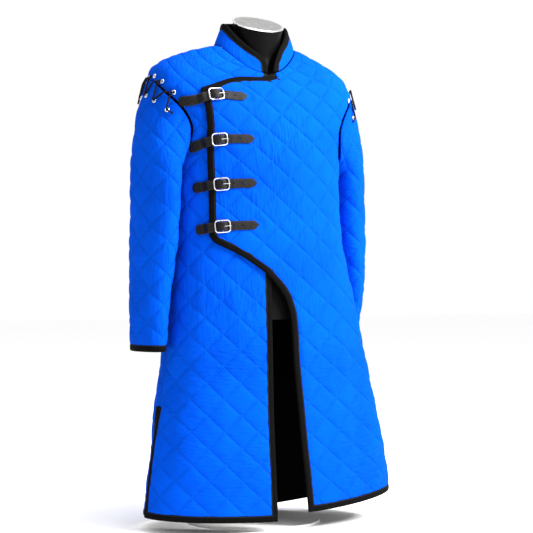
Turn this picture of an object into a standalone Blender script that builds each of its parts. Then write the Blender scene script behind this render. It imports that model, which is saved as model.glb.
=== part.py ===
"""Quilted gambeson on a limbless dress form.

A knee-length padded coat with a stand collar, a left front that laps over the right one and is
held by four buckled straps, and sleeves laced on at the shoulders. It hangs on a dress form
whose short pole and round foot are hidden inside the skirt.

Metres, +Z up. The wearer faces -Y, so the wearer's right is -X. The origin is the centre of the
underside of the foot. The body cloth is one smooth surface: a ring for each height `h` above the
front hem, and an angle `t` round the ring, 0 at centre front, +90 at the wearer's left side and
180 at the back. Every panel, binding and strap is made from points of that surface, moved out.
"""
import math

import bmesh
import bpy
import numpy as np
from mathutils import Matrix, Vector

# ---------------------------------------------------------------- driving dimensions

HEM_CLEARANCE = 0.022      # front hem above the floor
QUILT = 0.0045             # quilted cloth: shell, wadding and backing sewn together
LINING = 0.0008
SEAM_GAP = 0.0003
SEAM_HALF = 0.1            # half of the gap along the side and shoulder seams, in degrees
OVERLAP_STEP = 0.0078      # how far the over-lapping front stands off the one below it
BINDING_WIDTH = 0.015
BINDING_PROUD = 0.0008     # tape thickness on each face of the quilting
SLIT_TOP = 0.245           # height of the side slits
SLIT_TUCK = 0.013          # the back panel's side edges sit this far inside the fronts'
ARMPIT = 0.790
SHOULDER_TIP = 0.905       # ring height whose side point is the shoulder's outer edge
ARMHOLE_REACH = {"front": 40.0, "back": 37.0}   # degrees cut away each side of the side line
NECK_SEAM = 0.988
SLEEVE_GAP = (0.009, 0.006)   # the sleeve starts this far outside and below the armhole
SLEEVE_TUBE = 0.760        # height below which the sleeve hangs as a plain tube
CUFF = 0.370
CAP_SPREAD = 0.35          # how much the sleeve head leans out as it leaves the shoulder
FORM_CLEARANCE = 0.012     # form surface inside the cloth's outer face
FORM_LEVELS = (0.440, 0.500, 0.570, 0.640, 0.710, 0.760, 0.800, 0.825, 0.850, 0.875, 0.895, 0.912,
               0.926, 0.940, 0.955, 0.968, 0.980)
NECK_RADIUS = 0.0565
CAP_CENTRE = Vector((0.004, -0.012, 1.105))
# Rings of the neck: height, x and y of the centre, radius and share of the cap's tilt.
NECK_ROWS = (
    (1.004, 0.000, 0.0000, 0.0555, 0.10),
    (1.030, 0.001, -0.0020, 0.0525, 0.35),
    (1.065, 0.0025, -0.0065, 0.0540, 0.70),
)
CAP_TILT = math.radians(23.0)
CAP_RADIUS = 0.0595
CAP_THICKNESS = 0.004
FOOT_RADIUS = 0.150
FOOT_THICKNESS = 0.006
POLE_RADIUS = 0.0125
STRAP_THICKNESS = 0.0018
BUCKLE_LENGTH = 0.036
BUCKLE_HEIGHT = 0.029
BUCKLE_WIRE = 0.0015       # wire radius
BUCKLE_LIFT = 0.0144       # wire centre above the under-lapping front's face
BAR_RADIUS = 0.0012
BAR_DROP = 0.0008
TONGUE_RADIUS = 0.0008
EYELET_RADIUS = 0.0041
EYELET_WIRE = 0.0013
EYELET_FLATNESS = 0.6      # the ring's section is flatter than it is wide
EYELET_LIFT = 0.0018       # ring centre above the cloth
LACE_RADIUS = 0.0020
LACE_LIFT = 0.0054         # lace centre above the cloth
LACE_STEP = 0.010          # spacing of the lace's points

# One row for each ring of the body cloth, from hem to neck seam:
# height of the ring at centre front, how much higher it is at the right side, left side and
# back, its right and left half-widths, where its widest line lies in y, its depth to the
# front and the back of that line, and its squareness (2 is an ellipse).
BODY_COLUMNS = ("h", "rise_right", "rise_left", "rise_back", "right", "left", "mid", "front",
                "back", "square")
BODY_ROWS = (
    (0.000, 0.0075, 0.0438, -0.010, 0.2810, 0.3180, -0.035, 0.135, 0.170, 2.2),
    (0.100, 0.0050, 0.0270, -0.008, 0.2690, 0.3085, -0.032, 0.133, 0.166, 2.2),
    (0.200, 0.0030, 0.0120, -0.005, 0.2530, 0.2900, -0.029, 0.129, 0.161, 2.2),
    (0.280, 0.0010, 0.0030, -0.002, 0.2350, 0.2725, -0.026, 0.128, 0.158, 2.2),
    (0.380, 0.0000, 0.000, 0.000, 0.2190, 0.2520, -0.022, 0.128, 0.154, 2.2),
    (0.460, 0.0000, 0.000, 0.000, 0.2110, 0.2370, -0.018, 0.127, 0.147, 2.2),
    (0.540, 0.0000, 0.000, 0.000, 0.2050, 0.2200, -0.014, 0.124, 0.139, 2.3),
    (0.620, 0.0000, 0.000, 0.000, 0.2005, 0.2060, -0.008, 0.122, 0.133, 2.3),
    (0.710, 0.0000, 0.000, 0.000, 0.1985, 0.1985, -0.002, 0.124, 0.129, 2.4),
    (0.795, 0.0050, 0.005, 0.005, 0.2030, 0.2010, 0.004, 0.126, 0.127, 2.4),
    (0.835, 0.0350, 0.035, 0.025, 0.2160, 0.2110, 0.010, 0.127, 0.120, 2.6),
    (0.870, 0.0600, 0.059, 0.045, 0.2310, 0.2240, 0.018, 0.128, 0.112, 2.9),
    (0.900, 0.0660, 0.064, 0.055, 0.2390, 0.2320, 0.028, 0.131, 0.104, 3.2),
    (0.920, 0.0750, 0.069, 0.062, 0.2330, 0.2250, 0.032, 0.129, 0.098, 3.0),
    (0.938, 0.0770, 0.070, 0.065, 0.2130, 0.2050, 0.028, 0.118, 0.092, 2.8),
    (0.953, 0.0765, 0.070, 0.068, 0.1800, 0.1750, 0.020, 0.104, 0.087, 2.5),
    (0.968, 0.0740, 0.070, 0.070, 0.1420, 0.1390, 0.010, 0.087, 0.080, 2.3),
    (0.980, 0.0695, 0.069, 0.071, 0.1090, 0.1090, 0.003, 0.074, 0.073, 2.1),
    (0.988, 0.0650, 0.065, 0.072, 0.0955, 0.0955, 0.000, 0.068, 0.070, 2.0),
)

# Free edge of the left front (over) and of the right front (under): ring height and x.
OVER_EDGE = (
    (0.0155, 0.053), (0.142, 0.042), (0.261, 0.032), (0.351, 0.0245), (0.410, 0.022),
    (0.457, 0.0175), (0.494, 0.004), (0.515, -0.011), (0.540, -0.034), (0.562, -0.063),
    (0.588, -0.104), (0.602, -0.131), (0.612, -0.145), (0.625, -0.1505), (0.660, -0.1505),
    (0.700, -0.1505), (0.757, -0.1515), (0.800, -0.153), (0.857, -0.156), (0.893, -0.162),
    (0.918, -0.1655), (0.931, -0.141), (0.942, -0.120), (0.963, -0.069), (0.984, 0.009),
)
UNDER_EDGE = (
    (0.000, -0.019), (0.142, -0.0216), (0.260, -0.0227), (0.430, -0.0226), (0.600, -0.018),
    (0.800, -0.010), (0.950, 0.000), (0.988, 0.0035),
)

# Ring heights at which each panel has a row of points, up its free edge.
OVER_LEVELS = (0.0155, 0.060, 0.120, 0.180, 0.245, 0.250, 0.310, 0.360, 0.410, 0.457, 0.494,
               0.515, 0.540, 0.562, 0.588, 0.602, 0.612, 0.625, 0.660, 0.700, 0.757, 0.805,
               0.850, 0.872, 0.893, 0.918, 0.931, 0.942, 0.953, 0.963, 0.970, 0.977, 0.984)
UNDER_LEVELS = (0.000, 0.060, 0.120, 0.180, 0.245, 0.250, 0.310, 0.370, 0.430, 0.500, 0.570,
                0.640, 0.710, 0.785, 0.805, 0.825, 0.845, 0.865, 0.885, 0.905, 0.920, 0.938,
                0.953, 0.968, 0.980)
BACK_LEVELS = (0.000, 0.060, 0.120, 0.180, 0.245, 0.250, 0.310, 0.370, 0.430, 0.500, 0.570,
               0.640, 0.715)
ARMHOLE_STEPS = 7
SHOULDER_STEPS = 5
PANEL_COLUMNS = {"left": 10, "right": 8, "back": 16}

# Top edge of the collar: angle round the neck, from the right front end round the back to the
# left front end, and height above the neck seam.
COLLAR_EDGE = (
    (2.0, 0.0012), (2.0, 0.012), (1.0, 0.023), (-2.5, 0.034), (-9.0, 0.042), (-20.0, 0.047),
    (-35.0, 0.050), (-52.0, 0.051), (-72.0, 0.051), (-92.0, 0.051), (-115.0, 0.052),
    (-138.0, 0.053), (-160.0, 0.053), (-180.0, 0.053), (-200.0, 0.053), (-222.0, 0.052),
    (-245.0, 0.051), (-268.0, 0.050), (-290.0, 0.050), (-307.0, 0.051), (-320.0, 0.051),
    (-330.0, 0.050), (-338.0, 0.045), (-344.0, 0.035), (-348.5, 0.022), (-351.0, 0.011),
    (-352.0, 0.0012),
)
COLLAR_LEAN = {"front": 0.10, "side": 0.38, "back": 0.36}

# Sleeve as it hangs below the armhole: height, centre x (outwards) and y, half-widths across
# and fore-and-aft, and how far its front is turned in towards the body, in degrees.
SLEEVE_COLUMNS = ("z", "out", "y", "across", "along", "turn")
SLEEVE_ROWS = {
    "right": (
        (0.370, 0.2650, -0.019, 0.0290, 0.0590, 8.0),
        (0.460, 0.2600, -0.012, 0.0330, 0.0615, 10.0),
        (0.540, 0.2530, -0.009, 0.0355, 0.0670, 13.0),
        (0.623, 0.2490, -0.013, 0.0390, 0.0720, 15.0),
        (0.705, 0.2470, -0.018, 0.0405, 0.0745, 15.0),
        (0.760, 0.2475, -0.022, 0.0410, 0.0755, 15.0),
    ),
    "left": (
        (0.370, 0.2700, 0.090, 0.0290, 0.0600, 0.0),
        (0.433, 0.2660, 0.075, 0.0330, 0.0640, 1.0),
        (0.524, 0.2620, 0.053, 0.0370, 0.0680, 3.0),
        (0.583, 0.2580, 0.044, 0.0390, 0.0700, 6.0),
        (0.644, 0.2545, 0.042, 0.0410, 0.0730, 8.0),
        (0.705, 0.2510, 0.041, 0.0420, 0.0750, 9.0),
        (0.760, 0.2480, 0.040, 0.0425, 0.0770, 9.0),
    ),
}
SLEEVE_AROUND = (0.0, 24.0, 48.0, 70.0, 90.0, 110.0, 128.0, 139.0, 150.0, 161.0, 173.0, 185.0,
                 197.0, 207.0, 217.0, 240.0, 264.0, 288.0, 312.0, 336.0)
SLEEVE_HEAD_LEVELS = (0.0, 0.08, 0.16, 0.30, 0.46, 0.62, 0.80)
SLEEVE_TUBE_STEPS = 6

# Straps, top to bottom: ring height and x of the sewn end, of the buckle and of the point.
STRAP_ROWS = (
    ((0.877, -0.209), (0.909, -0.1370), (0.923, -0.0640)),
    ((0.807, -0.185), (0.825, -0.1300), (0.833, -0.0550)),
    ((0.727, -0.178), (0.735, -0.1260), (0.739, -0.0520)),
    ((0.635, -0.174), (0.643, -0.1250), (0.647, -0.0490)),
)
STRAP_HOLES = (0.025, 0.0435)        # from the buckle's centre towards the point
STRAP_HOLE_RADIUS = 0.0016
TONGUE_SLOT = (0.0010, 0.0098)       # slot in the strap that the tongue comes up through

# Eyelets, in degrees round the armhole from the armpit by the front: 180 is the shoulder tip.
EYELET_ANGLES = (128.0, 150.0, 173.0, 197.0, 217.0)
BODY_EYELET_INSET = 0.010
SLEEVE_EYELET_STEP = 0.16            # part of the sleeve head's length below its edge

COLOURS = {
    "quilted_cotton": ((0.004, 0.150, 0.830), 0.85, 0.0),
    "black_lining": ((0.006, 0.006, 0.007), 0.90, 0.0),
    "black_binding": ((0.010, 0.010, 0.011), 0.80, 0.0),
    "black_leather": ((0.020, 0.019, 0.019), 0.50, 0.0),
    "nickel_steel": ((0.720, 0.720, 0.730), 0.25, 1.0),
    "black_lace": ((0.009, 0.009, 0.010), 0.75, 0.0),
    "form_black": ((0.014, 0.014, 0.015), 0.55, 0.0),
    "brushed_steel": ((0.380, 0.380, 0.385), 0.40, 1.0),
    "white_enamel": ((0.860, 0.860, 0.860), 0.40, 0.0),
}


# ---------------------------------------------------------------- small tools

class Profile:
    """A smooth, monotone curve through the rows of a table, straight beyond its ends."""

    def __init__(self, xs, ys):
        self.x = np.array(xs, dtype=float)
        self.y = np.array(ys, dtype=float)
        step = np.diff(self.x)
        slope = np.diff(self.y) / step
        self.m = np.zeros(len(xs))
        self.m[0] = slope[0]
        self.m[-1] = slope[-1]
        for i in range(1, len(xs) - 1):
            if slope[i - 1] * slope[i] > 0.0:
                before = 2.0 * step[i] + step[i - 1]
                after = step[i] + 2.0 * step[i - 1]
                self.m[i] = (before + after) / (before / slope[i - 1] + after / slope[i])

    def __call__(self, x):
        if x <= self.x[0]:
            return self.y[0] + self.m[0] * (x - self.x[0])
        if x >= self.x[-1]:
            return self.y[-1] + self.m[-1] * (x - self.x[-1])
        i = int(np.searchsorted(self.x, x)) - 1
        width = self.x[i + 1] - self.x[i]
        u = (x - self.x[i]) / width
        start = (1.0 + 2.0 * u) * (1.0 - u) ** 2 * self.y[i] + u * (1.0 - u) ** 2 * width * self.m[i]
        end = u * u * (3.0 - 2.0 * u) * self.y[i + 1] + u * u * (u - 1.0) * width * self.m[i + 1]
        return float(start + end)


def profiles(columns, rows):
    """One Profile for each column of a table, against its first column."""
    keys = [row[0] for row in rows]
    return {name: Profile(keys, [row[i] for row in rows]) for i, name in enumerate(columns)}


def blend(a, b, u):
    return a + (b - a) * u


def ease(u):
    u = min(max(u, 0.0), 1.0)
    return u * u * (3.0 - 2.0 * u)


def make_material(name):
    colour, roughness, metallic = COLOURS[name]
    material = bpy.data.materials.new(name)
    material.use_nodes = True
    shader = material.node_tree.nodes["Principled BSDF"]
    shader.inputs["Base Color"].default_value = (*colour, 1.0)
    shader.inputs["Roughness"].default_value = roughness
    shader.inputs["Metallic"].default_value = metallic
    material.diffuse_color = (*colour, 1.0)
    return material


def finish(obj, material):
    """Give an object its material and put it in the gambeson's collection."""
    obj.data.materials.clear()
    obj.data.materials.append(MATERIALS[material])
    for collection in list(obj.users_collection):
        collection.objects.unlink(obj)
    PARTS.objects.link(obj)
    return obj


def mesh_object(name, material, points, faces):
    """A closed mesh with its faces turned outwards and its round parts shaded smooth."""
    mesh = bpy.data.meshes.new(name)
    mesh.from_pydata([tuple(p) for p in points], [], faces)
    work = bmesh.new()
    work.from_mesh(mesh)
    bmesh.ops.recalc_face_normals(work, faces=work.faces)
    work.to_mesh(mesh)
    work.free()
    mesh.shade_smooth()
    mesh.set_sharp_from_angle(angle=math.radians(40.0))
    obj = bpy.data.objects.new(name, mesh)
    PARTS.objects.link(obj)
    return finish(obj, material)


def shell(name, material, outer, inner, ring=False, flip=False):
    """A wall between two grids of points of the same size, closed round its edges.

    Both faces are split along the same diagonals, so that layers nest; `flip` takes the others.
    `ring` joins each row's last point to its first, for a tube.
    """
    rows = len(outer)
    cols = len(outer[0])
    points = [p for row in outer for p in row] + [p for row in inner for p in row]
    behind = rows * cols
    across = cols if ring else cols - 1
    faces = []
    for i in range(rows - 1):
        for j in range(across):
            k = (j + 1) % cols
            a, b, c, d = i * cols + j, i * cols + k, (i + 1) * cols + k, (i + 1) * cols + j
            for face in ((a, b, d), (b, c, d)) if flip else ((a, b, c), (a, c, d)):
                faces.append(face)
                faces.append(tuple(behind + v for v in reversed(face)))
    border = [(0, j, 0, (j + 1) % cols) for j in range(across)]
    border += [(rows - 1, (j + 1) % cols, rows - 1, j) for j in range(across)]
    if not ring:
        border += [(i + 1, 0, i, 0) for i in range(rows - 1)]
        border += [(i, cols - 1, i + 1, cols - 1) for i in range(rows - 1)]
    for i, j, p, q in border:
        a = i * cols + j
        b = p * cols + q
        faces.append((b, a, behind + a))
        faces.append((b, behind + a, behind + b))
    return mesh_object(name, material, points, faces)


def strip(name, material, sections, ring=False, flip=False):
    """A bar lofted through closed sections with the same number of points.

    `flip` splits its faces along their other diagonals, to match the cloth edge it wraps.
    """
    count = len(sections)
    size = len(sections[0])
    points = [p for section in sections for p in section]
    faces = []
    for i in range(count if ring else count - 1):
        n = (i + 1) % count
        for j in range(size):
            k = (j + 1) % size
            a, b, c, d = i * size + j, i * size + k, n * size + k, n * size + j
            faces += [(a, b, c), (a, c, d)] if flip else [(a, b, d), (b, c, d)]
    if not ring:
        faces.append(tuple(range(size)))
        faces.append(tuple((count - 1) * size + j for j in reversed(range(size))))
    return mesh_object(name, material, points, faces)


def wire_curve(name, points, radius, cyclic=False):
    """A round wire or cord along a list of points, as a curve with a bevel and filled caps."""
    curve = bpy.data.curves.new(name, "CURVE")
    curve.dimensions = "3D"
    curve.bevel_depth = radius
    curve.bevel_resolution = 2
    curve.use_fill_caps = True
    spline = curve.splines.new("POLY")
    spline.points.add(len(points) - 1)
    for target, point in zip(spline.points, points):
        target.co = (*point, 1.0)
    spline.use_cyclic_u = cyclic
    obj = bpy.data.objects.new(name, curve)
    PARTS.objects.link(obj)
    return obj


def as_mesh(obj):
    """The evaluated curve as a welded mesh; the curve object is removed."""
    graph = bpy.context.evaluated_depsgraph_get()
    mesh = bpy.data.meshes.new_from_object(obj.evaluated_get(graph))
    work = bmesh.new()
    work.from_mesh(mesh)
    bmesh.ops.remove_doubles(work, verts=work.verts, dist=0.00001)
    work.to_mesh(mesh)
    work.free()
    bpy.data.objects.remove(obj)
    return mesh


def hidden_cutter(obj):
    """Put a cutting tool in its own collection, out of the render."""
    for collection in list(obj.users_collection):
        collection.objects.unlink(obj)
    CUTTERS.objects.link(obj)
    obj.hide_render = True
    obj.display_type = "WIRE"
    return obj


def combine(obj, tool, operation):
    modifier = obj.modifiers.new(operation.lower(), "BOOLEAN")
    modifier.operation = operation
    modifier.object = tool


# ---------------------------------------------------------------- the cloth's surfaces

def round_factor(t, square):
    return (abs(math.sin(t)) ** square + abs(math.cos(t)) ** square) ** (-1.0 / square)


def body_point(h, degrees):
    """Point of the body cloth's outer face at ring height h and angle t."""
    t = math.radians(degrees)
    s = math.sin(t)
    c = math.cos(t)
    k = round_factor(t, BODY["square"](h))
    side = "left" if s > 0.0 else "right"
    depth = BODY["front"](h) if c > 0.0 else BODY["back"](h)
    rise = BODY["rise_" + side](h) * s * s
    if c < 0.0:
        rise += BODY["rise_back"](h) * c * c
    return Vector((BODY[side](h) * k * s, BODY["mid"](h) - depth * k * c, HEM_CLEARANCE + h + rise))


def surface_normal(surface, p, q, dp, dq):
    along_p = surface(p + dp, q) - surface(p - dp, q)
    along_q = surface(p, q + dq) - surface(p, q - dq)
    return along_q.cross(along_p).normalized()


def on_body(h, t, lift=0.0):
    return body_point(h, t) + surface_normal(body_point, h, t, 0.002, 0.5) * lift


def angle_at(h, x):
    """Angle t on the front of ring h at which the cloth is at this x."""
    target = abs(x) / BODY["left" if x > 0.0 else "right"](h)
    low = 0.0
    high = 90.0
    for _ in range(40):
        middle = 0.5 * (low + high)
        t = math.radians(middle)
        if math.sin(t) * round_factor(t, BODY["square"](h)) < target:
            low = middle
        else:
            high = middle
    return math.copysign(low, x)


def over_lift(t):
    """The left front stands off the right front, and comes back to the body at its own side."""
    return OVERLAP_STEP * (1.0 - ease(t / 45.0))


def stand_off(normal, t):
    """Level step of the over-lapping cloth away from the body."""
    return Vector((normal.x, normal.y, 0.0)).normalized() * over_lift(t)


def on_over(h, t, lift=0.0):
    """A point of the left front, which stands off the body cloth by the over-lap."""
    normal = surface_normal(body_point, h, t, 0.002, 0.5)
    return body_point(h, t) + normal * lift + stand_off(normal, t)


def armhole(side, degrees):
    """Ring height and angle of the armhole's edge: 0 armpit, 90 front, 180 shoulder tip."""
    a = math.radians(degrees)
    middle = 0.5 * (ARMPIT + SHOULDER_TIP)
    h = middle - 0.5 * (SHOULDER_TIP - ARMPIT) * math.cos(a)
    reach = ARMHOLE_REACH["front"] if math.sin(a) > 0.0 else ARMHOLE_REACH["back"]
    t = 90.0 - reach * math.sin(a)
    return h, t if side == "left" else -t


def collar_point(t, v):
    """Outer face of the collar: angle round the neck and height above the neck seam."""
    a = math.radians(t)
    base = body_point(NECK_SEAM, t)
    end = "front" if math.cos(a) > 0.0 else "back"
    lean = blend(COLLAR_LEAN["side"], COLLAR_LEAN[end], math.cos(a) ** 2)
    outwards = Vector((math.sin(a), -math.cos(a), 0.0))
    return base + v * Vector((0.0, 0.0, 1.0)) - (lean * v) * outwards


def on_collar(t, v, lift=0.0):
    wrapped = t + 360.0 if t < -180.0 else t
    normal = surface_normal(lambda q, p: collar_point(p, q), v, t, 0.002, 0.5)
    spot = collar_point(t, v) + normal * lift
    return spot + stand_off(normal, wrapped) if 5.0 < wrapped < 90.0 else spot


def sleeve_point(side, w, degrees):
    """Outer face of a sleeve: w is 0 at its head, 1 where it hangs plain and 2 at the cuff."""
    sign = 1.0 if side == "left" else -1.0
    if w >= 1.0:
        return hanging_sleeve(side, blend(SLEEVE_TUBE, CUFF, w - 1.0), degrees)
    a = math.radians(degrees)
    out, down = SLEEVE_GAP
    start = on_body(*armhole(side, degrees)) + Vector((sign * out, 0.0, -down))
    end = hanging_sleeve(side, SLEEVE_TUBE, degrees)
    length = (end - start).length
    leave = Vector((sign * CAP_SPREAD * 0.5 * (1.0 - math.cos(a)), 0.0, -1.0)) * length
    arrive = Vector((0.0, 0.0, -length))
    head = (1.0 + 2.0 * w) * (1.0 - w) ** 2 * start + w * (1.0 - w) ** 2 * leave
    return head + w * w * (3.0 - 2.0 * w) * end + w * w * (w - 1.0) * arrive


def hanging_sleeve(side, z, degrees):
    sign = 1.0 if side == "left" else -1.0
    row = SLEEVE[side]
    a = math.radians(degrees)
    flat = Vector((-sign * row["across"](z) * math.cos(a), -row["along"](z) * math.sin(a), 0.0))
    flat.rotate(Matrix.Rotation(-sign * math.radians(row["turn"](z)), 3, "Z"))
    return Vector((sign * row["out"](z), row["y"](z), HEM_CLEARANCE + z)) + flat


def sleeve_normal(side, w, degrees):
    normal = surface_normal(lambda p, q: sleeve_point(side, p, q), w, degrees, 0.01, 1.0)
    return -normal if side == "left" else normal


def on_sleeve(side, w, degrees, lift=0.0):
    return sleeve_point(side, w, degrees) + sleeve_normal(side, w, degrees) * lift


# ---------------------------------------------------------------- edges and bindings

def inset(place, path, width, turn, closed=False):
    """Move a path on a surface sideways by a width, with mitred corners.

    `place` maps a path point to a position; `turn` is +1 when the cloth lies to the left of the
    path's direction seen from outside, -1 when it lies to the right.
    """
    result = []
    last = len(path) - 1
    for i, (p, q) in enumerate(path):
        here = place(p, q)
        normal = surface_normal(place, p, q, 0.0005, 0.2)
        sides = []
        for a, b in ((i - 1, i), (i, i + 1)):
            if closed or (a >= 0 and b <= last):
                run = place(*path[b % (last + 1)]) - place(*path[a % (last + 1)])
                sides.append((normal.cross(run) * turn).normalized())
        if len(sides) == 2:
            shift = (sides[0] + sides[1]) / (1.0 + sides[0].dot(sides[1]))
        else:
            shift = sides[0]
        along_p = (place(p + 0.0005, q) - here) / 0.0005
        along_q = (place(p, q + 0.2) - here) / 0.2
        matrix = np.array((along_p, along_q)).T
        step = np.linalg.lstsq(matrix, np.array(shift * width), rcond=None)[0]
        result.append((p + float(step[0]), q + float(step[1])))
    return result


def binding(name, place, edge, inner, ring=False, flip=False):
    """Folded tape over a cloth edge: a bar a little thicker than the quilting it wraps."""
    front = BINDING_PROUD
    behind = -QUILT - SEAM_GAP - BINDING_PROUD
    corner = 0.12
    sections = []
    for (p, q), (r, s) in zip(edge, inner):
        near = (blend(p, r, corner), blend(q, s, corner))
        sections.append((
            place(p, q, 0.4 * behind + 0.6 * front),
            place(*near, front),
            place(r, s, front),
            place(r, s, behind),
            place(*near, behind),
            place(p, q, 0.6 * behind + 0.4 * front),
        ))
    return strip(name, "black_binding", sections, ring, flip)


def front_edges(edge_rows, levels, columns, sign):
    """Paths round one front: its free edge, hem and side slit, outside and inside the tape."""
    table = Profile([row[0] for row in edge_rows], [row[1] for row in edge_rows])
    free = [(h, angle_at(h, table(h))) for h in levels]
    top_t = free[-1][1]
    free.append((NECK_SEAM - 0.0002, top_t + 0.3))
    corner = sign * 89.0
    hem = []
    for j in range(1, columns + 1):
        t = blend(free[0][1], corner, j / columns)
        hem.append((levels[0] * (1.0 - abs(math.sin(math.radians(t))) ** 3), t))
    slit = [(h, corner) for h in levels[1:] if h <= SLIT_TOP]
    outline = list(reversed(free)) + hem + slit
    tape = inset(body_point, outline, BINDING_WIDTH, sign)
    cloth = inset(body_point, outline, BINDING_WIDTH + SEAM_GAP, sign)
    return outline, tape, cloth, len(free)


def seam_ends(side, sign):
    """Points up the armhole and the shoulder seam, where the fronts and the back meet."""
    step = -SEAM_HALF if side == "front" else SEAM_HALF
    ends = []
    for i in range(ARMHOLE_STEPS + 1):
        around = 180.0 * i / ARMHOLE_STEPS
        h, t = armhole("left", around if side == "front" else 360.0 - around)
        t = min(t, 90.0 + step) if side == "front" else max(t, 90.0 + step)
        ends.append((h, sign * t))
    for i in range(1, SHOULDER_STEPS + 1):
        h = blend(SHOULDER_TIP, NECK_SEAM - 0.0006, i / SHOULDER_STEPS)
        ends.append((h, sign * (90.0 + step)))
    return ends


def front_grid(cloth, count, levels, columns, sign):
    """Rows of (h, t) from the free edge to the side seam, armhole and shoulder seam."""
    free = list(reversed(cloth[:count]))
    hem = cloth[count - 1:count + columns]
    seam = sign * (90.0 - SEAM_HALF)
    ends = cloth[count + columns:]
    ends += [(h, seam) for h in levels if SLIT_TOP < h < ARMPIT - 0.02]
    ends += seam_ends("front", sign)
    rows = [hem]
    for start, end in zip(free[1:], ends, strict=True):
        rows.append([(blend(start[0], end[0], j / columns), blend(start[1], end[1], j / columns))
                     for j in range(columns + 1)])
    return rows


def build_fronts():
    """The left front, which laps over, and the right front below it, with their bindings."""
    plans = (
        ("front_left", "binding_over", OVER_EDGE, OVER_LEVELS, PANEL_COLUMNS["left"], on_over, 1.0),
        ("front_right", "binding_under", UNDER_EDGE, UNDER_LEVELS, PANEL_COLUMNS["right"], on_body,
         -1.0),
    )
    for name, tape_name, edge_rows, levels, columns, place, sign in plans:
        outline, tape, cloth, count = front_edges(edge_rows, levels, columns, sign)
        grid = front_grid(cloth, count, levels, columns, sign)
        outer = [[place(h, t) for h, t in row] for row in grid]
        inner = [[place(h, t, -QUILT) for h, t in row] for row in grid]
        shell(name, "quilted_cotton", outer, inner, flip=sign > 0.0)
        binding(tape_name, place, outline, tape)


def back_place(h, t, lift=0.0):
    """The back below the slits' tops sits inside the fronts' side edges."""
    tuck = SLIT_TUCK * ease((SLIT_TOP + 0.02 - h) / 0.14) * abs(math.sin(math.radians(t))) ** 6
    return on_body(h, t, lift - tuck)


def build_back():
    """The back in one piece with the tape on its slits and hem, and the skirt's black lining."""
    columns = PANEL_COLUMNS["back"]
    first = 91.5
    last = 268.5
    slit = [h for h in BACK_LEVELS if h <= SLIT_TOP]
    edge = [(h, first) for h in reversed(slit[1:])]
    edge += [(0.0, blend(first, last, j / columns)) for j in range(columns + 1)]
    edge += [(h, last) for h in slit[1:]]
    tape = inset(back_place, edge, BINDING_WIDTH, 1.0)
    cloth = inset(back_place, edge, BINDING_WIDTH + SEAM_GAP, 1.0)
    binding("binding_back", back_place, edge, tape)

    corner = len(slit) - 1
    pairs = [(cloth[corner - i], cloth[corner + columns + i]) for i in range(1, len(slit))]
    seam = 90.0 + SEAM_HALF
    left = [(h, seam) for h in BACK_LEVELS if h > SLIT_TOP] + seam_ends("back", 1.0)
    pairs += [((h, t), (h, 360.0 - t)) for h, t in left]
    grid = [[cloth[corner + j] for j in range(columns + 1)]]
    for start, end in pairs:
        grid.append([(blend(start[0], end[0], j / columns), blend(start[1], end[1], j / columns))
                     for j in range(columns + 1)])
    outer = [[back_place(h, t) for h, t in row] for row in grid]
    inner = [[back_place(h, t, -QUILT) for h, t in row] for row in grid]
    shell("back", "quilted_cotton", outer, inner)

    lined = grid[:len(BACK_LEVELS)]
    deep = -QUILT - SEAM_GAP
    face = [[back_place(h, t, deep) for h, t in row] for row in lined]
    under = [[back_place(h, t, deep - LINING) for h, t in row] for row in lined]
    shell("lining_back", "black_lining", face, under)


def build_collar():
    """A stand collar, its black lining and the tape along its top and front edges."""
    tape = collar_inset(BINDING_WIDTH)
    cloth = collar_inset(BINDING_WIDTH + SEAM_GAP)
    binding("binding_collar", on_collar, COLLAR_EDGE, tape, flip=True)
    seam = COLLAR_EDGE[0][1]
    tops = [(t, v) for t, v in cloth if v > 0.006]
    levels = 3
    grid = [[(t, blend(seam, v, i / levels)) for t, v in tops] for i in range(levels + 1)]
    outer = [[on_collar(t, v) for t, v in row] for row in grid]
    inner = [[on_collar(t, v, -QUILT) for t, v in row] for row in grid]
    shell("collar", "quilted_cotton", outer, inner)
    deep = -QUILT - SEAM_GAP
    face = [[on_collar(t, v, deep) for t, v in row] for row in grid]
    under = [[on_collar(t, v, deep - LINING) for t, v in row] for row in grid]
    shell("lining_collar", "black_lining", face, under)


def collar_inset(width):
    swapped = [(v, t) for t, v in COLLAR_EDGE]
    moved = inset(lambda v, t: on_collar(t, v), swapped, width, 1.0)
    return [(t, max(v, COLLAR_EDGE[0][1])) for v, t in moved]


def build_sleeves():
    """Each sleeve is one tube, open at its head and its bound cuff."""
    around = SLEEVE_AROUND
    tape_w = BINDING_WIDTH / (SLEEVE_TUBE - CUFF)
    gap_w = (BINDING_WIDTH + SEAM_GAP) / (SLEEVE_TUBE - CUFF)
    levels = list(SLEEVE_HEAD_LEVELS)
    levels += [1.0 + (1.0 - gap_w) * i / SLEEVE_TUBE_STEPS for i in range(SLEEVE_TUBE_STEPS + 1)]
    for side in ("right", "left"):
        outer = [[on_sleeve(side, w, a) for a in around] for w in levels]
        inner = [[on_sleeve(side, w, a, -QUILT) for a in around] for w in levels]
        shell("sleeve_" + side, "quilted_cotton", outer, inner, ring=True)
        place = lambda w, a, lift, side=side: on_sleeve(side, w, a, lift)
        edge = [(2.0, a) for a in around]
        tape = [(2.0 - tape_w, a) for a in around]
        binding("cuff_" + side, place, edge, tape, ring=True, flip=True)


# ---------------------------------------------------------------- straps and buckles

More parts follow.
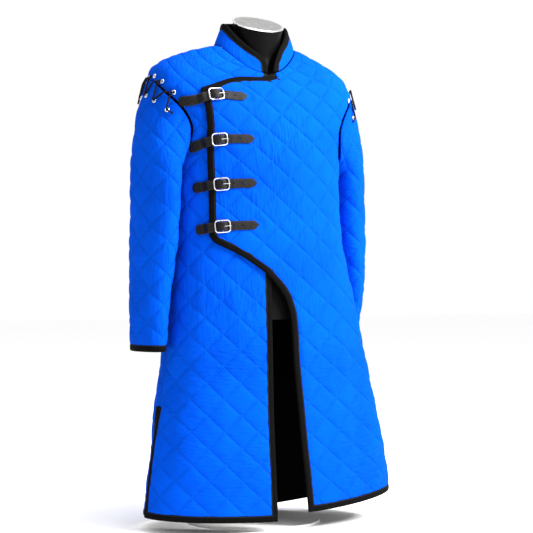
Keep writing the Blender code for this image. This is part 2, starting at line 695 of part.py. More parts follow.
class StrapLine:
    """Where a strap runs: distance along it from the buckle's centre, over the body cloth."""

    def __init__(self, row):
        sewn, buckle, point = row
        xs = (sewn[1], buckle[1], point[1])
        level = Profile(xs, (sewn[0], buckle[0], point[0]))
        samples = [blend(xs[0], xs[2], i / 200.0) for i in range(201)]
        self.spots = [(level(x), angle_at(level(x), x)) for x in samples]
        lengths = [0.0]
        for a, b in zip(self.spots, self.spots[1:]):
            lengths.append(lengths[-1] + (body_point(*b) - body_point(*a)).length)
        start = float(np.interp(buckle[1], samples, lengths))
        self.distance = [d - start for d in lengths]
        self.start = self.distance[0]
        self.end = self.distance[-1]
        over = Profile([r[0] for r in OVER_EDGE], [r[1] for r in OVER_EDGE])
        self.edge = next(d for d, x, (h, t) in zip(self.distance, samples, self.spots) if x > over(h))

    def spot(self, d):
        h = float(np.interp(d, self.distance, [s[0] for s in self.spots]))
        t = float(np.interp(d, self.distance, [s[1] for s in self.spots]))
        return h, t

    def frame(self, d):
        """Point on the body cloth and the directions along, across and off the strap."""
        h, t = self.spot(d)
        normal = surface_normal(body_point, h, t, 0.002, 0.5)
        along = body_point(*self.spot(d + 0.004)) - body_point(*self.spot(d - 0.004))
        along = (along - along.dot(normal) * normal).normalized()
        return body_point(h, t), along, normal.cross(along), normal

    def place(self, d, across, lift):
        point, along, width, normal = self.frame(d)
        return point + width * across + normal * lift


def build_strap(number, line):
    """Leather strap sewn to the right front, through the buckle, with its point to the left."""
    under = 0.0014
    over = OVERLAP_STEP + 0.0018
    bar = BUCKLE_LIFT
    path = (
        (line.start, under), (line.start + 0.003, under), (line.start + 0.008, under),
        (blend(line.start + 0.008, line.edge - 0.014, 0.34), under),
        (blend(line.start + 0.008, line.edge - 0.014, 0.67), under),
        (line.edge - 0.014, under), (line.edge - 0.007, 0.0058),
        (line.edge - 0.0015, over), (line.edge + 0.004, over), (-0.0165, over),
        (-0.0125, over + 0.0010), (-0.0070, bar + 0.0011), (-0.0030, bar + 0.0026),
        (0.0010, bar + 0.0026), (0.0050, bar + 0.0012), (0.0095, bar - 0.0017),
        (0.0135, over + 0.0008), (0.0240, over + 0.0008), (0.0310, over), (0.0380, over - 0.0006),
        (0.0500, over - 0.0006), (line.end - 0.0140, over - 0.0006),
        (line.end - 0.0060, over - 0.0006), (line.end, over - 0.0006),
    )
    half = Profile(
        (line.start, line.start + 0.003, line.start + 0.008, -0.030, -0.018, line.end - 0.014,
         line.end),
        (0.0045, 0.0090, 0.0112, 0.0108, 0.0100, 0.0098, 0.0012))
    sections = []
    for d, lift in path:
        w = half(d)
        top = lift + STRAP_THICKNESS
        sections.append((line.place(d, -w, lift), line.place(d, w, lift),
                         line.place(d, w, top), line.place(d, -w, top)))
    strap = strip(f"strap_{number}", "black_leather", sections)
    for i, d in enumerate(STRAP_HOLES):
        combine(strap, round_cutter(f"hole_{number}_{i}", line, d), "DIFFERENCE")
    combine(strap, slot_cutter(f"slot_{number}", line, TONGUE_SLOT, 0.0026, 0.0144, 0.006),
            "DIFFERENCE")


def round_cutter(name, line, d):
    point, along, width, normal = line.frame(d)
    bpy.ops.mesh.primitive_cylinder_add(vertices=10, radius=STRAP_HOLE_RADIUS, depth=0.010)
    tool = bpy.context.active_object
    tool.name = name
    turn = Matrix((along, width, normal)).transposed()
    tool.matrix_world = Matrix.Translation(point + normal * 0.009) @ turn.to_4x4()
    return hidden_cutter(tool)


def slot_cutter(name, line, span, width_of, lift, depth):
    """A box across the strap line, from span[0] to span[1] along it."""
    point, along, width, normal = line.frame(0.0)
    size = (span[1] - span[0], width_of, depth)
    bpy.ops.mesh.primitive_cube_add(size=1.0)
    tool = bpy.context.active_object
    tool.name = name
    turn = Matrix((along, width, normal)).transposed()
    centre = point + along * (0.5 * (span[0] + span[1])) + normal * lift
    tool.matrix_world = Matrix.Translation(centre) @ turn.to_4x4() @ Matrix.Diagonal((*size, 1.0))
    return hidden_cutter(tool)


def buckle_mesh():
    """Rounded wire frame with a centre bar, in its own plane, centred on the bar."""
    half_x = 0.5 * BUCKLE_LENGTH - BUCKLE_WIRE
    half_y = 0.5 * BUCKLE_HEIGHT - BUCKLE_WIRE
    bend = 0.0065
    points = []
    for corner in range(4):
        sx = 1.0 if corner in (0, 3) else -1.0
        sy = 1.0 if corner in (0, 1) else -1.0
        for i in range(4):
            a = math.radians(90.0 * corner + 30.0 * i)
            points.append((sx * (half_x - bend) + bend * math.cos(a),
                           sy * (half_y - bend) + bend * math.sin(a), 0.0))
    frame = wire_curve("buckle_frame", points, BUCKLE_WIRE, cyclic=True)
    solid = bpy.data.objects.new("buckle_solid", as_mesh(frame))
    PARTS.objects.link(solid)
    bpy.ops.mesh.primitive_cylinder_add(vertices=10, radius=BAR_RADIUS, depth=2.0 * half_y)
    bar = hidden_cutter(bpy.context.active_object)
    bar.name = "buckle_bar"
    bar.matrix_world = Matrix.Translation((0.0, 0.0, -BAR_DROP)) @ Matrix.Rotation(
        math.radians(90.0), 4, "X")
    combine(solid, bar, "UNION")
    graph = bpy.context.evaluated_depsgraph_get()
    mesh = bpy.data.meshes.new_from_object(solid.evaluated_get(graph))
    bpy.data.objects.remove(solid)
    return mesh


def tongue_mesh():
    """Wire tongue: a hook round the centre bar, then straight to rest on the frame's end."""
    reach = BAR_RADIUS + SEAM_GAP + TONGUE_RADIUS
    points = []
    for i in range(6):
        a = math.radians(270.0 - 36.0 * i)
        points.append((reach * math.cos(a), 0.0, reach * math.sin(a) - BAR_DROP))
    rest = BUCKLE_WIRE + TONGUE_RADIUS + 0.0004
    end = 0.5 * BUCKLE_LENGTH - BUCKLE_WIRE
    points += [(0.007, 0.0, 0.0020), (end - 0.004, 0.0, rest - 0.0001), (end, 0.0, rest),
               (end + 0.0022, 0.0, rest)]
    return as_mesh(wire_curve("tongue_wire", points, TONGUE_RADIUS))


def build_chape(number, line):
    """Short leather loop that holds the buckle's bar to the left front, below the strap."""
    thick = 0.0010
    radius = BAR_RADIUS + 0.0004 + 0.5 * thick
    centre = BUCKLE_LIFT - BAR_DROP
    flat = OVERLAP_STEP + 0.0013
    middle = [(0.0220, flat), (0.0145, flat), (0.0075, flat), (0.0030, centre - radius - 0.0008)]
    for i in range(7):
        a = math.radians(270.0 - 30.0 * i)
        middle.append((radius * math.cos(a), centre + radius * math.sin(a)))
    sections = []
    for i, (d, lift) in enumerate(middle):
        before = middle[max(i - 1, 0)]
        after = middle[min(i + 1, len(middle) - 1)]
        run = Vector((after[0] - before[0], after[1] - before[1])).normalized()
        side = Vector((-run.y, run.x)) * (0.5 * thick)
        foot = d if d > 0.007 else 0.0
        point, along, width, normal = line.frame(foot)
        section = []
        for turn, w in ((1.0, -0.008), (1.0, 0.008), (-1.0, 0.008), (-1.0, -0.008)):
            section.append(point + along * (d - foot + turn * side.x) + width * w
                           + normal * (lift + turn * side.y))
        sections.append(section)
    chape = strip(f"chape_{number}", "black_leather", sections)
    combine(chape, slot_cutter(f"chape_slot_{number}", line, (-0.006, 0.0058), 0.0024, centre,
                               0.0100), "DIFFERENCE")


def build_fastenings():
    frame = buckle_mesh()
    tongue = tongue_mesh()
    for number, row in enumerate(STRAP_ROWS, start=1):
        line = StrapLine(row)
        build_strap(number, line)
        build_chape(number, line)
        point, along, width, normal = line.frame(0.0)
        turn = Matrix((along, width, normal)).transposed().to_4x4()
        for name, mesh in ((f"buckle_{number}", frame), (f"tongue_{number}", tongue)):
            piece = bpy.data.objects.new(name, mesh)
            PARTS.objects.link(piece)
            piece.matrix_world = Matrix.Translation(point + normal * BUCKLE_LIFT) @ turn
            finish(piece, "nickel_steel")


# ---------------------------------------------------------------- shoulder lacing

def body_eyelet(side, degrees, lift):
    """A spot on the shoulder just inside the armhole's edge."""
    h, t = armhole(side, degrees)
    edge = body_point(h, t)
    middle = body_point(0.5 * (ARMPIT + SHOULDER_TIP) + 0.075, t * 0.86)
    normal = surface_normal(body_point, h, t, 0.002, 0.5)
    run = middle - edge
    run = (run - run.dot(normal) * normal).normalized()
    along_h = (body_point(h + 0.001, t) - edge) / 0.001
    along_t = (body_point(h, t + 0.2) - edge) / 0.2
    matrix = np.array((along_h, along_t)).T
    step = np.linalg.lstsq(matrix, np.array(run * BODY_EYELET_INSET), rcond=None)[0]
    spot = (h + float(step[0]), t + float(step[1]))
    return on_body(*spot, lift), surface_normal(body_point, *spot, 0.002, 0.5)


def sleeve_eyelet(side, degrees, lift):
    normal = sleeve_normal(side, SLEEVE_EYELET_STEP, degrees)
    return on_sleeve(side, SLEEVE_EYELET_STEP, degrees, lift), normal


def build_lacing():
    """Eyelets in both edges of each laced armhole and the lace that zigzags between them."""
    bpy.ops.mesh.primitive_torus_add(major_radius=EYELET_RADIUS, minor_radius=EYELET_WIRE,
                                     major_segments=10, minor_segments=4)
    pattern = bpy.context.active_object
    ring = pattern.data
    ring.transform(Matrix.Diagonal((1.0, 1.0, EYELET_FLATNESS, 1.0)))
    ring.shade_smooth()
    bpy.data.objects.remove(pattern)
    for side in ("right", "left"):
        for number, degrees in enumerate(EYELET_ANGLES, start=1):
            for kind, spot in (("body", body_eyelet), ("sleeve", sleeve_eyelet)):
                position, normal = spot(side, degrees, EYELET_LIFT)
                piece = bpy.data.objects.new(f"eyelet_{kind}_{side}_{number}", ring)
                PARTS.objects.link(piece)
                turn = normal.to_track_quat("Z", "Y").to_matrix().to_4x4()
                piece.matrix_world = Matrix.Translation(position) @ turn
                finish(piece, "nickel_steel")
        finish(wire_curve("lace_" + side, lace_route(side), LACE_RADIUS), "black_lace")


def lace_route(side):
    """The lace lies over the eyelets and over the sleeve's edge, which stands out between them."""
    ends = (EYELET_ANGLES[0] - 9.0, EYELET_ANGLES[-1] + 9.0)
    knots = [sleeve_eyelet(side, ends[0], LACE_LIFT)[0]]
    for i, degrees in enumerate(EYELET_ANGLES):
        if i > 0:
            crossing = blend(EYELET_ANGLES[i - 1], degrees, 0.4)
            knots.append(on_sleeve(side, 0.0, crossing, LACE_LIFT))
        knots.append(sleeve_eyelet(side, degrees, LACE_LIFT)[0])
        knots.append(on_sleeve(side, 0.0, degrees, LACE_LIFT))
        knots.append(body_eyelet(side, degrees, LACE_LIFT + 0.0016)[0])
    knots.append(on_sleeve(side, 0.0, ends[1], LACE_LIFT))
    knots.append(sleeve_eyelet(side, ends[1], LACE_LIFT)[0])
    tension = 0.18
    points = []
    for i in range(len(knots) - 1):
        before = knots[max(i - 1, 0)]
        here = knots[i]
        there = knots[i + 1]
        after = knots[min(i + 2, len(knots) - 1)]
        leave = (there - before) * tension
        arrive = (after - here) * tension
        steps = max(1, round((there - here).length / LACE_STEP))
        for k in range(steps):
            u = k / steps
            points.append((1.0 + 2.0 * u) * (1.0 - u) ** 2 * here + u * (1.0 - u) ** 2 * leave
                          + u * u * (3.0 - 2.0 * u) * there + u * u * (u - 1.0) * arrive)
    points.append(knots[-1])
    return points


# ---------------------------------------------------------------- dress form and stand

def build_form():
    """Smooth limbless torso with a neck cut off by a tilted steel cap."""
    around = [15.0 * j for j in range(24)]
    rings = [[on_body(h, t, -FORM_CLEARANCE) for t in around] for h in FORM_LEVELS]
    slope = math.tan(CAP_TILT)
    for z, x, y, radius, tilt in NECK_ROWS:
        rings.append([neck_spot(t, radius, x, y, z + HEM_CLEARANCE, slope * tilt) for t in around])
    base = CAP_CENTRE + Vector((0.0, 0.0, HEM_CLEARANCE))
    top = base.z - (0.5 * CAP_THICKNESS + SEAM_GAP) / math.cos(CAP_TILT)
    rings.append([neck_spot(t, NECK_RADIUS, base.x, base.y, top, slope) for t in around])
    strip("form_torso", "form_black", rings)

    bpy.ops.mesh.primitive_cylinder_add(vertices=32, radius=CAP_RADIUS, depth=CAP_THICKNESS)
    cap = bpy.context.active_object
    cap.name = "form_cap"
    cap.location = base
    cap.rotation_euler = (CAP_TILT, 0.0, 0.0)
    rounded_edge(cap, 0.0012)
    finish(cap, "brushed_steel")


def neck_spot(degrees, radius, x, y, z, slope):
    a = math.radians(degrees)
    forward = -radius * math.cos(a)
    return Vector((x + radius * math.sin(a), y + forward, z + slope * forward))


def rounded_edge(obj, width):
    bevel = obj.modifiers.new("rounded edge", "BEVEL")
    bevel.width = width
    bevel.segments = 1
    bevel.limit_method = "ANGLE"


def build_stand():
    """Round steel foot and a short pole into the underside of the form."""
    bpy.ops.mesh.primitive_cylinder_add(vertices=48, radius=FOOT_RADIUS, depth=FOOT_THICKNESS)
    foot = bpy.context.active_object
    foot.name = "stand_foot"
    foot.location = (0.0, 0.0, 0.5 * FOOT_THICKNESS)
    rounded_edge(foot, 0.0012)
    finish(foot, "white_enamel")

    bottom = FOOT_THICKNESS + SEAM_GAP
    top = HEM_CLEARANCE + FORM_LEVELS[0] - 0.012
    bpy.ops.mesh.primitive_cylinder_add(vertices=20, radius=POLE_RADIUS, depth=top - bottom)
    pole = bpy.context.active_object
    pole.name = "stand_pole"
    pole.location = (0.0, 0.0, 0.5 * (top + bottom))
    finish(pole, "white_enamel")


# ---------------------------------------------------------------- build

for old in list(bpy.data.objects):
    bpy.data.objects.remove(old)

PARTS = bpy.data.collections.new("gambeson")
CUTTERS = bpy.data.collections.new("cutters")
bpy.context.scene.collection.children.link(PARTS)
bpy.context.scene.collection.children.link(CUTTERS)
MATERIALS = {name: make_material(name) for name in COLOURS}
BODY = profiles(BODY_COLUMNS, BODY_ROWS)
SLEEVE = {side: profiles(SLEEVE_COLUMNS, rows) for side, rows in SLEEVE_ROWS.items()}

build_fronts()
build_back()
build_collar()
build_sleeves()
build_fastenings()
build_lacing()
build_form()
build_stand()
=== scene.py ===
"""Looks of the quilted gambeson on its dress form.

The CAD model's cloth is a smooth surface: a ring for each height h above the front hem, and an
angle t round it, 0 at centre front, +90 at the wearer's left side and 180 at the back. The
visible cloth is built on the same surfaces, with the quilting, its puckers and the main folds
raised on it. Metres, +Z up; the wearer faces -Y, so the wearer's right is -X.
"""

import math

import bmesh
import bpy
import numpy as np
from mathutils import Matrix, Vector


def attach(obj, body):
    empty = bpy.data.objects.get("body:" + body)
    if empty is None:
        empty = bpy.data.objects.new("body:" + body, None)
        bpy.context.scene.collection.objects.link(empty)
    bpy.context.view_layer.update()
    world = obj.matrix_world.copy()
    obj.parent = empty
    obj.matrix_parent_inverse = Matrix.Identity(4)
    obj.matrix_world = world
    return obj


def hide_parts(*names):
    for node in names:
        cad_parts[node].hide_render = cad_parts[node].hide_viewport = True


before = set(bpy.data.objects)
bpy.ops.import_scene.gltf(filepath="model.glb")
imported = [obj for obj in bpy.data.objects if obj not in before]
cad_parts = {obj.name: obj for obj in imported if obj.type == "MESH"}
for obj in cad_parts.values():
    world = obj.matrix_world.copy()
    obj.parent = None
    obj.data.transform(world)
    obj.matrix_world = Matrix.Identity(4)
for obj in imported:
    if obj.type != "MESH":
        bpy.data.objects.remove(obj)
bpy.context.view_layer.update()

# ---------------------------------------------------------------- the frame's own dimensions

HEM_CLEARANCE = 0.022      # front hem above the floor
QUILT = 0.0045             # quilted cloth: shell, wadding and backing sewn together
SEAM_GAP = 0.0003          # between pieces that lie together
SEAM_HALF = 0.01           # half of the gap along the side and shoulder seams, in degrees
OVERLAP_STEP = 0.0078      # how far the over-lapping front stands off the one below it
BINDING_WIDTH = 0.015
TAPE_COVERS = 0.004        # cloth that reaches in under the tape
SLIT_TOP = 0.245           # height of the side slits
SLIT_TUCK = 0.013          # the back panel's side edges sit this far inside the fronts'
ARMPIT = 0.790
SHOULDER_TIP = 0.905       # ring height whose side point is the shoulder's outer edge
ARMHOLE_REACH = {"front": 40.0, "back": 37.0}   # degrees cut away each side of the side line
NECK_SEAM = 0.988
SLEEVE_TUBE = 0.760        # height below which the sleeve hangs as a plain tube
CUFF = 0.370
CAP_SPREAD = 0.35          # how much the sleeve head leans out as it leaves the shoulder
FORM_CLEARANCE = 0.012     # form surface inside the cloth's outer face
FORM_LEVELS = (0.440, 0.500, 0.570, 0.640, 0.710, 0.760, 0.800, 0.825, 0.850, 0.875, 0.895, 0.912,
               0.926, 0.940, 0.955, 0.968, 0.980)
NECK_RADIUS = 0.0565
CAP_CENTRE = Vector((0.004, -0.012, 1.105))
# Rings of the neck: height, x and y of the centre, radius and share of the cap's tilt.
NECK_ROWS = (
    (1.004, 0.000, 0.0000, 0.0555, 0.10),
    (1.030, 0.001, -0.0020, 0.0525, 0.35),
    (1.065, 0.0025, -0.0065, 0.0540, 0.70),
)
CAP_TILT = math.radians(23.0)
CAP_RADIUS = 0.0595
CAP_THICKNESS = 0.004
STRAP_THICKNESS = 0.0018
BUCKLE_LIFT = 0.0144       # wire centre above the under-lapping front's face
LACE_RADIUS = 0.0020
LACE_LIFT = 0.0054         # lace centre above the cloth

# One row for each ring of the body cloth, from hem to neck seam:
# height of the ring at centre front, how much higher it is at the right side, left side and
# back, its right and left half-widths, where its widest line lies in y, its depth to the
# front and the back of that line, and its squareness (2 is an ellipse).
BODY_COLUMNS = ("h", "rise_right", "rise_left", "rise_back", "right", "left", "mid", "front",
                "back", "square")
BODY_ROWS = (
    (0.000, 0.0075, 0.0438, -0.010, 0.2810, 0.3180, -0.035, 0.135, 0.170, 2.2),
    (0.100, 0.0050, 0.0270, -0.008, 0.2690, 0.3085, -0.032, 0.133, 0.166, 2.2),
    (0.200, 0.0030, 0.0120, -0.005, 0.2530, 0.2900, -0.029, 0.129, 0.161, 2.2),
    (0.280, 0.0010, 0.0030, -0.002, 0.2350, 0.2725, -0.026, 0.128, 0.158, 2.2),
    (0.380, 0.0000, 0.000, 0.000, 0.2190, 0.2520, -0.022, 0.128, 0.154, 2.2),
    (0.460, 0.0000, 0.000, 0.000, 0.2110, 0.2370, -0.018, 0.127, 0.147, 2.2),
    (0.540, 0.0000, 0.000, 0.000, 0.2050, 0.2200, -0.014, 0.124, 0.139, 2.3),
    (0.620, 0.0000, 0.000, 0.000, 0.2005, 0.2060, -0.008, 0.122, 0.133, 2.3),
    (0.710, 0.0000, 0.000, 0.000, 0.1985, 0.1985, -0.002, 0.124, 0.129, 2.4),
    (0.795, 0.0050, 0.005, 0.005, 0.2030, 0.2010, 0.004, 0.126, 0.127, 2.4),
    (0.835, 0.0350, 0.035, 0.025, 0.2160, 0.2110, 0.010, 0.127, 0.120, 2.6),
    (0.870, 0.0600, 0.059, 0.045, 0.2310, 0.2240, 0.018, 0.128, 0.112, 2.9),
    (0.900, 0.0660, 0.064, 0.055, 0.2390, 0.2320, 0.028, 0.131, 0.104, 3.2),
    (0.920, 0.0750, 0.069, 0.062, 0.2330, 0.2250, 0.032, 0.129, 0.098, 3.0),
    (0.938, 0.0770, 0.070, 0.065, 0.2130, 0.2050, 0.028, 0.118, 0.092, 2.8),
    (0.953, 0.0765, 0.070, 0.068, 0.1800, 0.1750, 0.020, 0.104, 0.087, 2.5),
    (0.968, 0.0740, 0.070, 0.070, 0.1420, 0.1390, 0.010, 0.087, 0.080, 2.3),
    (0.980, 0.0695, 0.069, 0.071, 0.1090, 0.1090, 0.003, 0.074, 0.073, 2.1),
    (0.988, 0.0650, 0.065, 0.072, 0.0955, 0.0955, 0.000, 0.068, 0.070, 2.0),
)

# Free edge of the left front (over) and of the right front (under): ring height and x.
OVER_EDGE = (
    (0.0155, 0.053), (0.142, 0.042), (0.261, 0.032), (0.351, 0.0245), (0.410, 0.022),
    (0.457, 0.0175), (0.494, 0.004), (0.515, -0.011), (0.540, -0.034), (0.562, -0.063),
    (0.588, -0.104), (0.602, -0.131), (0.612, -0.145), (0.625, -0.1505), (0.660, -0.1505),
    (0.700, -0.1505), (0.757, -0.1515), (0.800, -0.153), (0.857, -0.156), (0.893, -0.162),
    (0.918, -0.1655), (0.931, -0.141), (0.942, -0.120), (0.963, -0.069), (0.984, 0.009),
)
UNDER_EDGE = (
    (0.000, -0.019), (0.142, -0.0216), (0.260, -0.0227), (0.430, -0.0226), (0.600, -0.018),
    (0.800, -0.010), (0.950, 0.000), (0.988, 0.0035),
)

# Ring heights at which each panel has a row of points, up its free edge.
OVER_LEVELS = (0.0155, 0.060, 0.120, 0.180, 0.245, 0.250, 0.310, 0.360, 0.410, 0.457, 0.494,
               0.515, 0.540, 0.562, 0.588, 0.602, 0.612, 0.625, 0.660, 0.700, 0.757, 0.805,
               0.850, 0.872, 0.893, 0.918, 0.931, 0.942, 0.953, 0.963, 0.970, 0.977, 0.984)
UNDER_LEVELS = (0.000, 0.060, 0.120, 0.180, 0.245, 0.250, 0.310, 0.370, 0.430, 0.500, 0.570,
                0.640, 0.710, 0.785, 0.805, 0.825, 0.845, 0.865, 0.885, 0.905, 0.920, 0.938,
                0.953, 0.968, 0.980)
BACK_LEVELS = (0.000, 0.060, 0.120, 0.180, 0.245, 0.250, 0.310, 0.370, 0.430, 0.500, 0.570,
               0.640, 0.715)
ARMHOLE_STEPS = 7
SHOULDER_STEPS = 5
PANEL_COLUMNS = {"left": 10, "right": 8, "back": 16}

# Top edge of the collar: angle round the neck, from the right front end round the back to the
# left front end, and height above the neck seam.
COLLAR_EDGE = (
    (2.0, 0.0012), (2.0, 0.012), (1.0, 0.023), (-2.5, 0.034), (-9.0, 0.042), (-20.0, 0.047),
    (-35.0, 0.050), (-52.0, 0.051), (-72.0, 0.051), (-92.0, 0.051), (-115.0, 0.052),
    (-138.0, 0.053), (-160.0, 0.053), (-180.0, 0.053), (-200.0, 0.053), (-222.0, 0.052),
    (-245.0, 0.051), (-268.0, 0.050), (-290.0, 0.050), (-307.0, 0.051), (-320.0, 0.051),
    (-330.0, 0.050), (-338.0, 0.045), (-344.0, 0.035), (-348.5, 0.022), (-351.0, 0.011),
    (-352.0, 0.0012),
)
COLLAR_LEAN = {"front": 0.10, "side": 0.38, "back": 0.36}

# Sleeve as it hangs below the armhole: height, centre x (outwards) and y, half-widths across
# and fore-and-aft, and how far its front is turned in towards the body, in degrees.
SLEEVE_COLUMNS = ("z", "out", "y", "across", "along", "turn")
SLEEVE_ROWS = {
    "right": (
        (0.370, 0.2650, -0.019, 0.0290, 0.0590, 8.0),
        (0.460, 0.2600, -0.012, 0.0330, 0.0615, 10.0),
        (0.540, 0.2530, -0.009, 0.0355, 0.0670, 13.0),
        (0.623, 0.2490, -0.013, 0.0390, 0.0720, 15.0),
        (0.705, 0.2470, -0.018, 0.0405, 0.0745, 15.0),
        (0.760, 0.2475, -0.022, 0.0410, 0.0755, 15.0),
    ),
    "left": (
        (0.370, 0.2700, 0.090, 0.0290, 0.0600, 0.0),
        (0.433, 0.2660, 0.075, 0.0330, 0.0640, 1.0),
        (0.524, 0.2620, 0.053, 0.0370, 0.0680, 3.0),
        (0.583, 0.2580, 0.044, 0.0390, 0.0700, 6.0),
        (0.644, 0.2545, 0.042, 0.0410, 0.0730, 8.0),
        (0.705, 0.2510, 0.041, 0.0420, 0.0750, 9.0),
        (0.760, 0.2480, 0.040, 0.0425, 0.0770, 9.0),
    ),
}
SLEEVE_AROUND = (0.0, 24.0, 48.0, 70.0, 90.0, 110.0, 128.0, 139.0, 150.0, 161.0, 173.0, 185.0,
                 197.0, 207.0, 217.0, 240.0, 264.0, 288.0, 312.0, 336.0)

# Straps, top to bottom: ring height and x of the sewn end, of the buckle and of the point.
STRAP_ROWS = (
    ((0.877, -0.209), (0.909, -0.1370), (0.923, -0.0640)),
    ((0.807, -0.185), (0.825, -0.1300), (0.833, -0.0550)),
    ((0.727, -0.178), (0.735, -0.1260), (0.739, -0.0520)),
    ((0.635, -0.174), (0.643, -0.1250), (0.647, -0.0490)),
)
STRAP_HOLES = (0.025, 0.0435)        # from the buckle's centre towards the point
STRAP_HOLE_RADIUS = 0.0017
TONGUE_SLOT = (0.0010, 0.0098)       # slot in the strap that the tongue comes up through

# Eyelets, in degrees round the armhole from the armpit by the front: 180 is the shoulder tip.
EYELET_ANGLES = (128.0, 150.0, 173.0, 197.0, 217.0)
BODY_EYELET_INSET = 0.010
SLEEVE_EYELET_STEP = 0.16            # part of the sleeve head's length below its edge

# Quilting: diamond width and height, and where a crossing lies on each panel (u round the body
# or sleeve, v up it, and how much the upright leans).
DIAMOND = (0.0755, 0.0712)
LINE_GAP = DIAMOND[0] * DIAMOND[1] / math.hypot(*DIAMOND)
PHASE = {
    "front_left": (0.0197, 0.824, 0.07), "front_right": (-0.1357, 0.2665, 0.0),
    "back": (0.0, 0.824, 0.0), "sleeve_right": (0.0, 0.030, 0.0),
    "sleeve_left": (0.0, 0.030, 0.0),
}

# Main folds: start and end (u, v), half width and height of each.
FOLDS = {
    "front_left": (
        (0.02, 0.8, 0.075, 0.56, 0.016, 0.0016), (0.105, 0.83, 0.12, 0.6, 0.018, -0.0018),
        (-0.105, 0.87, -0.06, 0.7, 0.013, 0.0014), (-0.06, 0.64, 0.06, 0.52, 0.014, -0.0013),
        (0.14, 0.56, 0.175, 0.24, 0.026, 0.0028), (0.085, 0.42, 0.115, 0.06, 0.024, -0.0024),
        (0.235, 0.48, 0.29, 0.12, 0.03, 0.003), (0.19, 0.33, 0.215, 0.03, 0.022, -0.0026),
        (0.03, 0.48, 0.06, 0.3, 0.014, 0.0014), (0.175, 0.76, 0.185, 0.64, 0.015, 0.0015),
        (-0.02, 0.93, 0.05, 0.9, 0.01, -0.001), (0.3, 0.26, 0.33, 0.05, 0.02, -0.002),
    ),
    "front_right": (
        (-0.165, 0.78, -0.19, 0.6, 0.014, -0.0016), (-0.12, 0.56, -0.1, 0.42, 0.018, 0.0018),
        (-0.07, 0.47, -0.045, 0.33, 0.012, -0.0013), (-0.18, 0.44, -0.215, 0.12, 0.024, 0.0028),
        (-0.105, 0.3, -0.12, 0.03, 0.026, -0.0024), (-0.045, 0.25, -0.05, 0.04, 0.02, 0.0018),
        (-0.245, 0.33, -0.27, 0.07, 0.018, -0.002), (-0.175, 0.9, -0.19, 0.82, 0.011, 0.0013),
    ),
    "back": (
        (0.3, 0.86, 0.33, 0.62, 0.018, 0.0022), (-0.31, 0.85, -0.35, 0.6, 0.02, 0.002),
        (0.36, 0.52, 0.43, 0.08, 0.03, 0.0035), (-0.35, 0.5, -0.4, 0.06, 0.028, 0.0032),
        (0.48, 0.46, 0.54, 0.04, 0.03, -0.0034), (-0.47, 0.42, -0.5, 0.05, 0.032, -0.003),
        (0.42, 0.9, 0.48, 0.78, 0.016, -0.0018), (-0.43, 0.89, -0.46, 0.72, 0.017, -0.0016),
        (0.56, 0.36, 0.6, 0.03, 0.024, 0.0026), (-0.56, 0.48, -0.59, 0.1, 0.026, 0.0028),
    ),
    "sleeve_right": (
        (0.02, 0.33, 0.03, 0.18, 0.012, -0.0012), (-0.06, 0.22, 0.05, 0.2, 0.01, 0.0013),
        (-0.09, 0.16, 0.0, 0.15, 0.009, -0.0012), (0.045, 0.42, 0.04, 0.3, 0.013, 0.0014),
        (-0.05, 0.29, 0.06, 0.262, 0.01, -0.0012), (0.06, 0.15, 0.075, 0.03, 0.012, 0.0012),
        (-0.04, 0.09, 0.03, 0.075, 0.009, 0.001),
    ),
    "sleeve_left": (
        (0.01, 0.35, 0.02, 0.2, 0.012, -0.0013), (-0.07, 0.26, 0.04, 0.23, 0.01, 0.0013),
        (-0.08, 0.19, 0.01, 0.17, 0.01, -0.0012), (0.05, 0.43, 0.055, 0.32, 0.013, 0.0013),
        (-0.06, 0.14, 0.05, 0.12, 0.01, 0.0011), (0.07, 0.2, 0.08, 0.08, 0.012, -0.0011),
    ),
}
LOOSE_GAP = (0.0056, 0.0030)   # the sleeve head stands this far out from and below the armhole
PUFF = 0.0024              # how far a diamond's middle stands off its stitched lines
RIDGE = 0.0060             # how soon the cloth rises beside a stitched line
PUCKER_TALL = 0.00085      # height of the puckers in the mesh
EYELET_CLEAR = (0.007, 0.012)  # reach and fall of clear_of() round an eyelet
STRAP_CLEAR = (0.0115, 0.010)  # the same round a strap
CLOTH_STEP = 0.0039        # grid of the visible cloth
BACK_STEP = 0.0047
LINING_STEP = 0.0075


# ---------------------------------------------------------------- small tools

class Profile:
    """A smooth, monotone curve through the rows of a table, straight beyond its ends."""

    def __init__(self, xs, ys):
        self.x = np.array(xs, dtype=float)
        self.y = np.array(ys, dtype=float)
        step = np.diff(self.x)
        slope = np.diff(self.y) / step
        self.m = np.zeros(len(xs))
        self.m[0] = slope[0]
        self.m[-1] = slope[-1]
        for i in range(1, len(xs) - 1):
            if slope[i - 1] * slope[i] > 0.0:
                before = 2.0 * step[i] + step[i - 1]
                after = step[i] + 2.0 * step[i - 1]
                self.m[i] = (before + after) / (before / slope[i - 1] + after / slope[i])

    def __call__(self, x):
        x = np.asarray(x, dtype=float)
        i = np.clip(np.searchsorted(self.x, x) - 1, 0, len(self.x) - 2)
        width = self.x[i + 1] - self.x[i]
        u = (np.clip(x, self.x[0], self.x[-1]) - self.x[i]) / width
        inside = curve(u, self.y[i], self.y[i + 1], width * self.m[i], width * self.m[i + 1])
        before = np.minimum(x - self.x[0], 0.0) * self.m[0]
        return inside + before + np.maximum(x - self.x[-1], 0.0) * self.m[-1]


def profiles(columns, rows):
    keys = [row[0] for row in rows]
    return {name: Profile(keys, [row[i] for row in rows]) for i, name in enumerate(columns)}


BODY = profiles(BODY_COLUMNS, BODY_ROWS)
SLEEVE = {side: profiles(SLEEVE_COLUMNS, rows) for side, rows in SLEEVE_ROWS.items()}


def blend(a, b, u):
    return a + (b - a) * u


def ease(u):
    u = np.clip(u, 0.0, 1.0)
    return u * u * (3.0 - 2.0 * u)


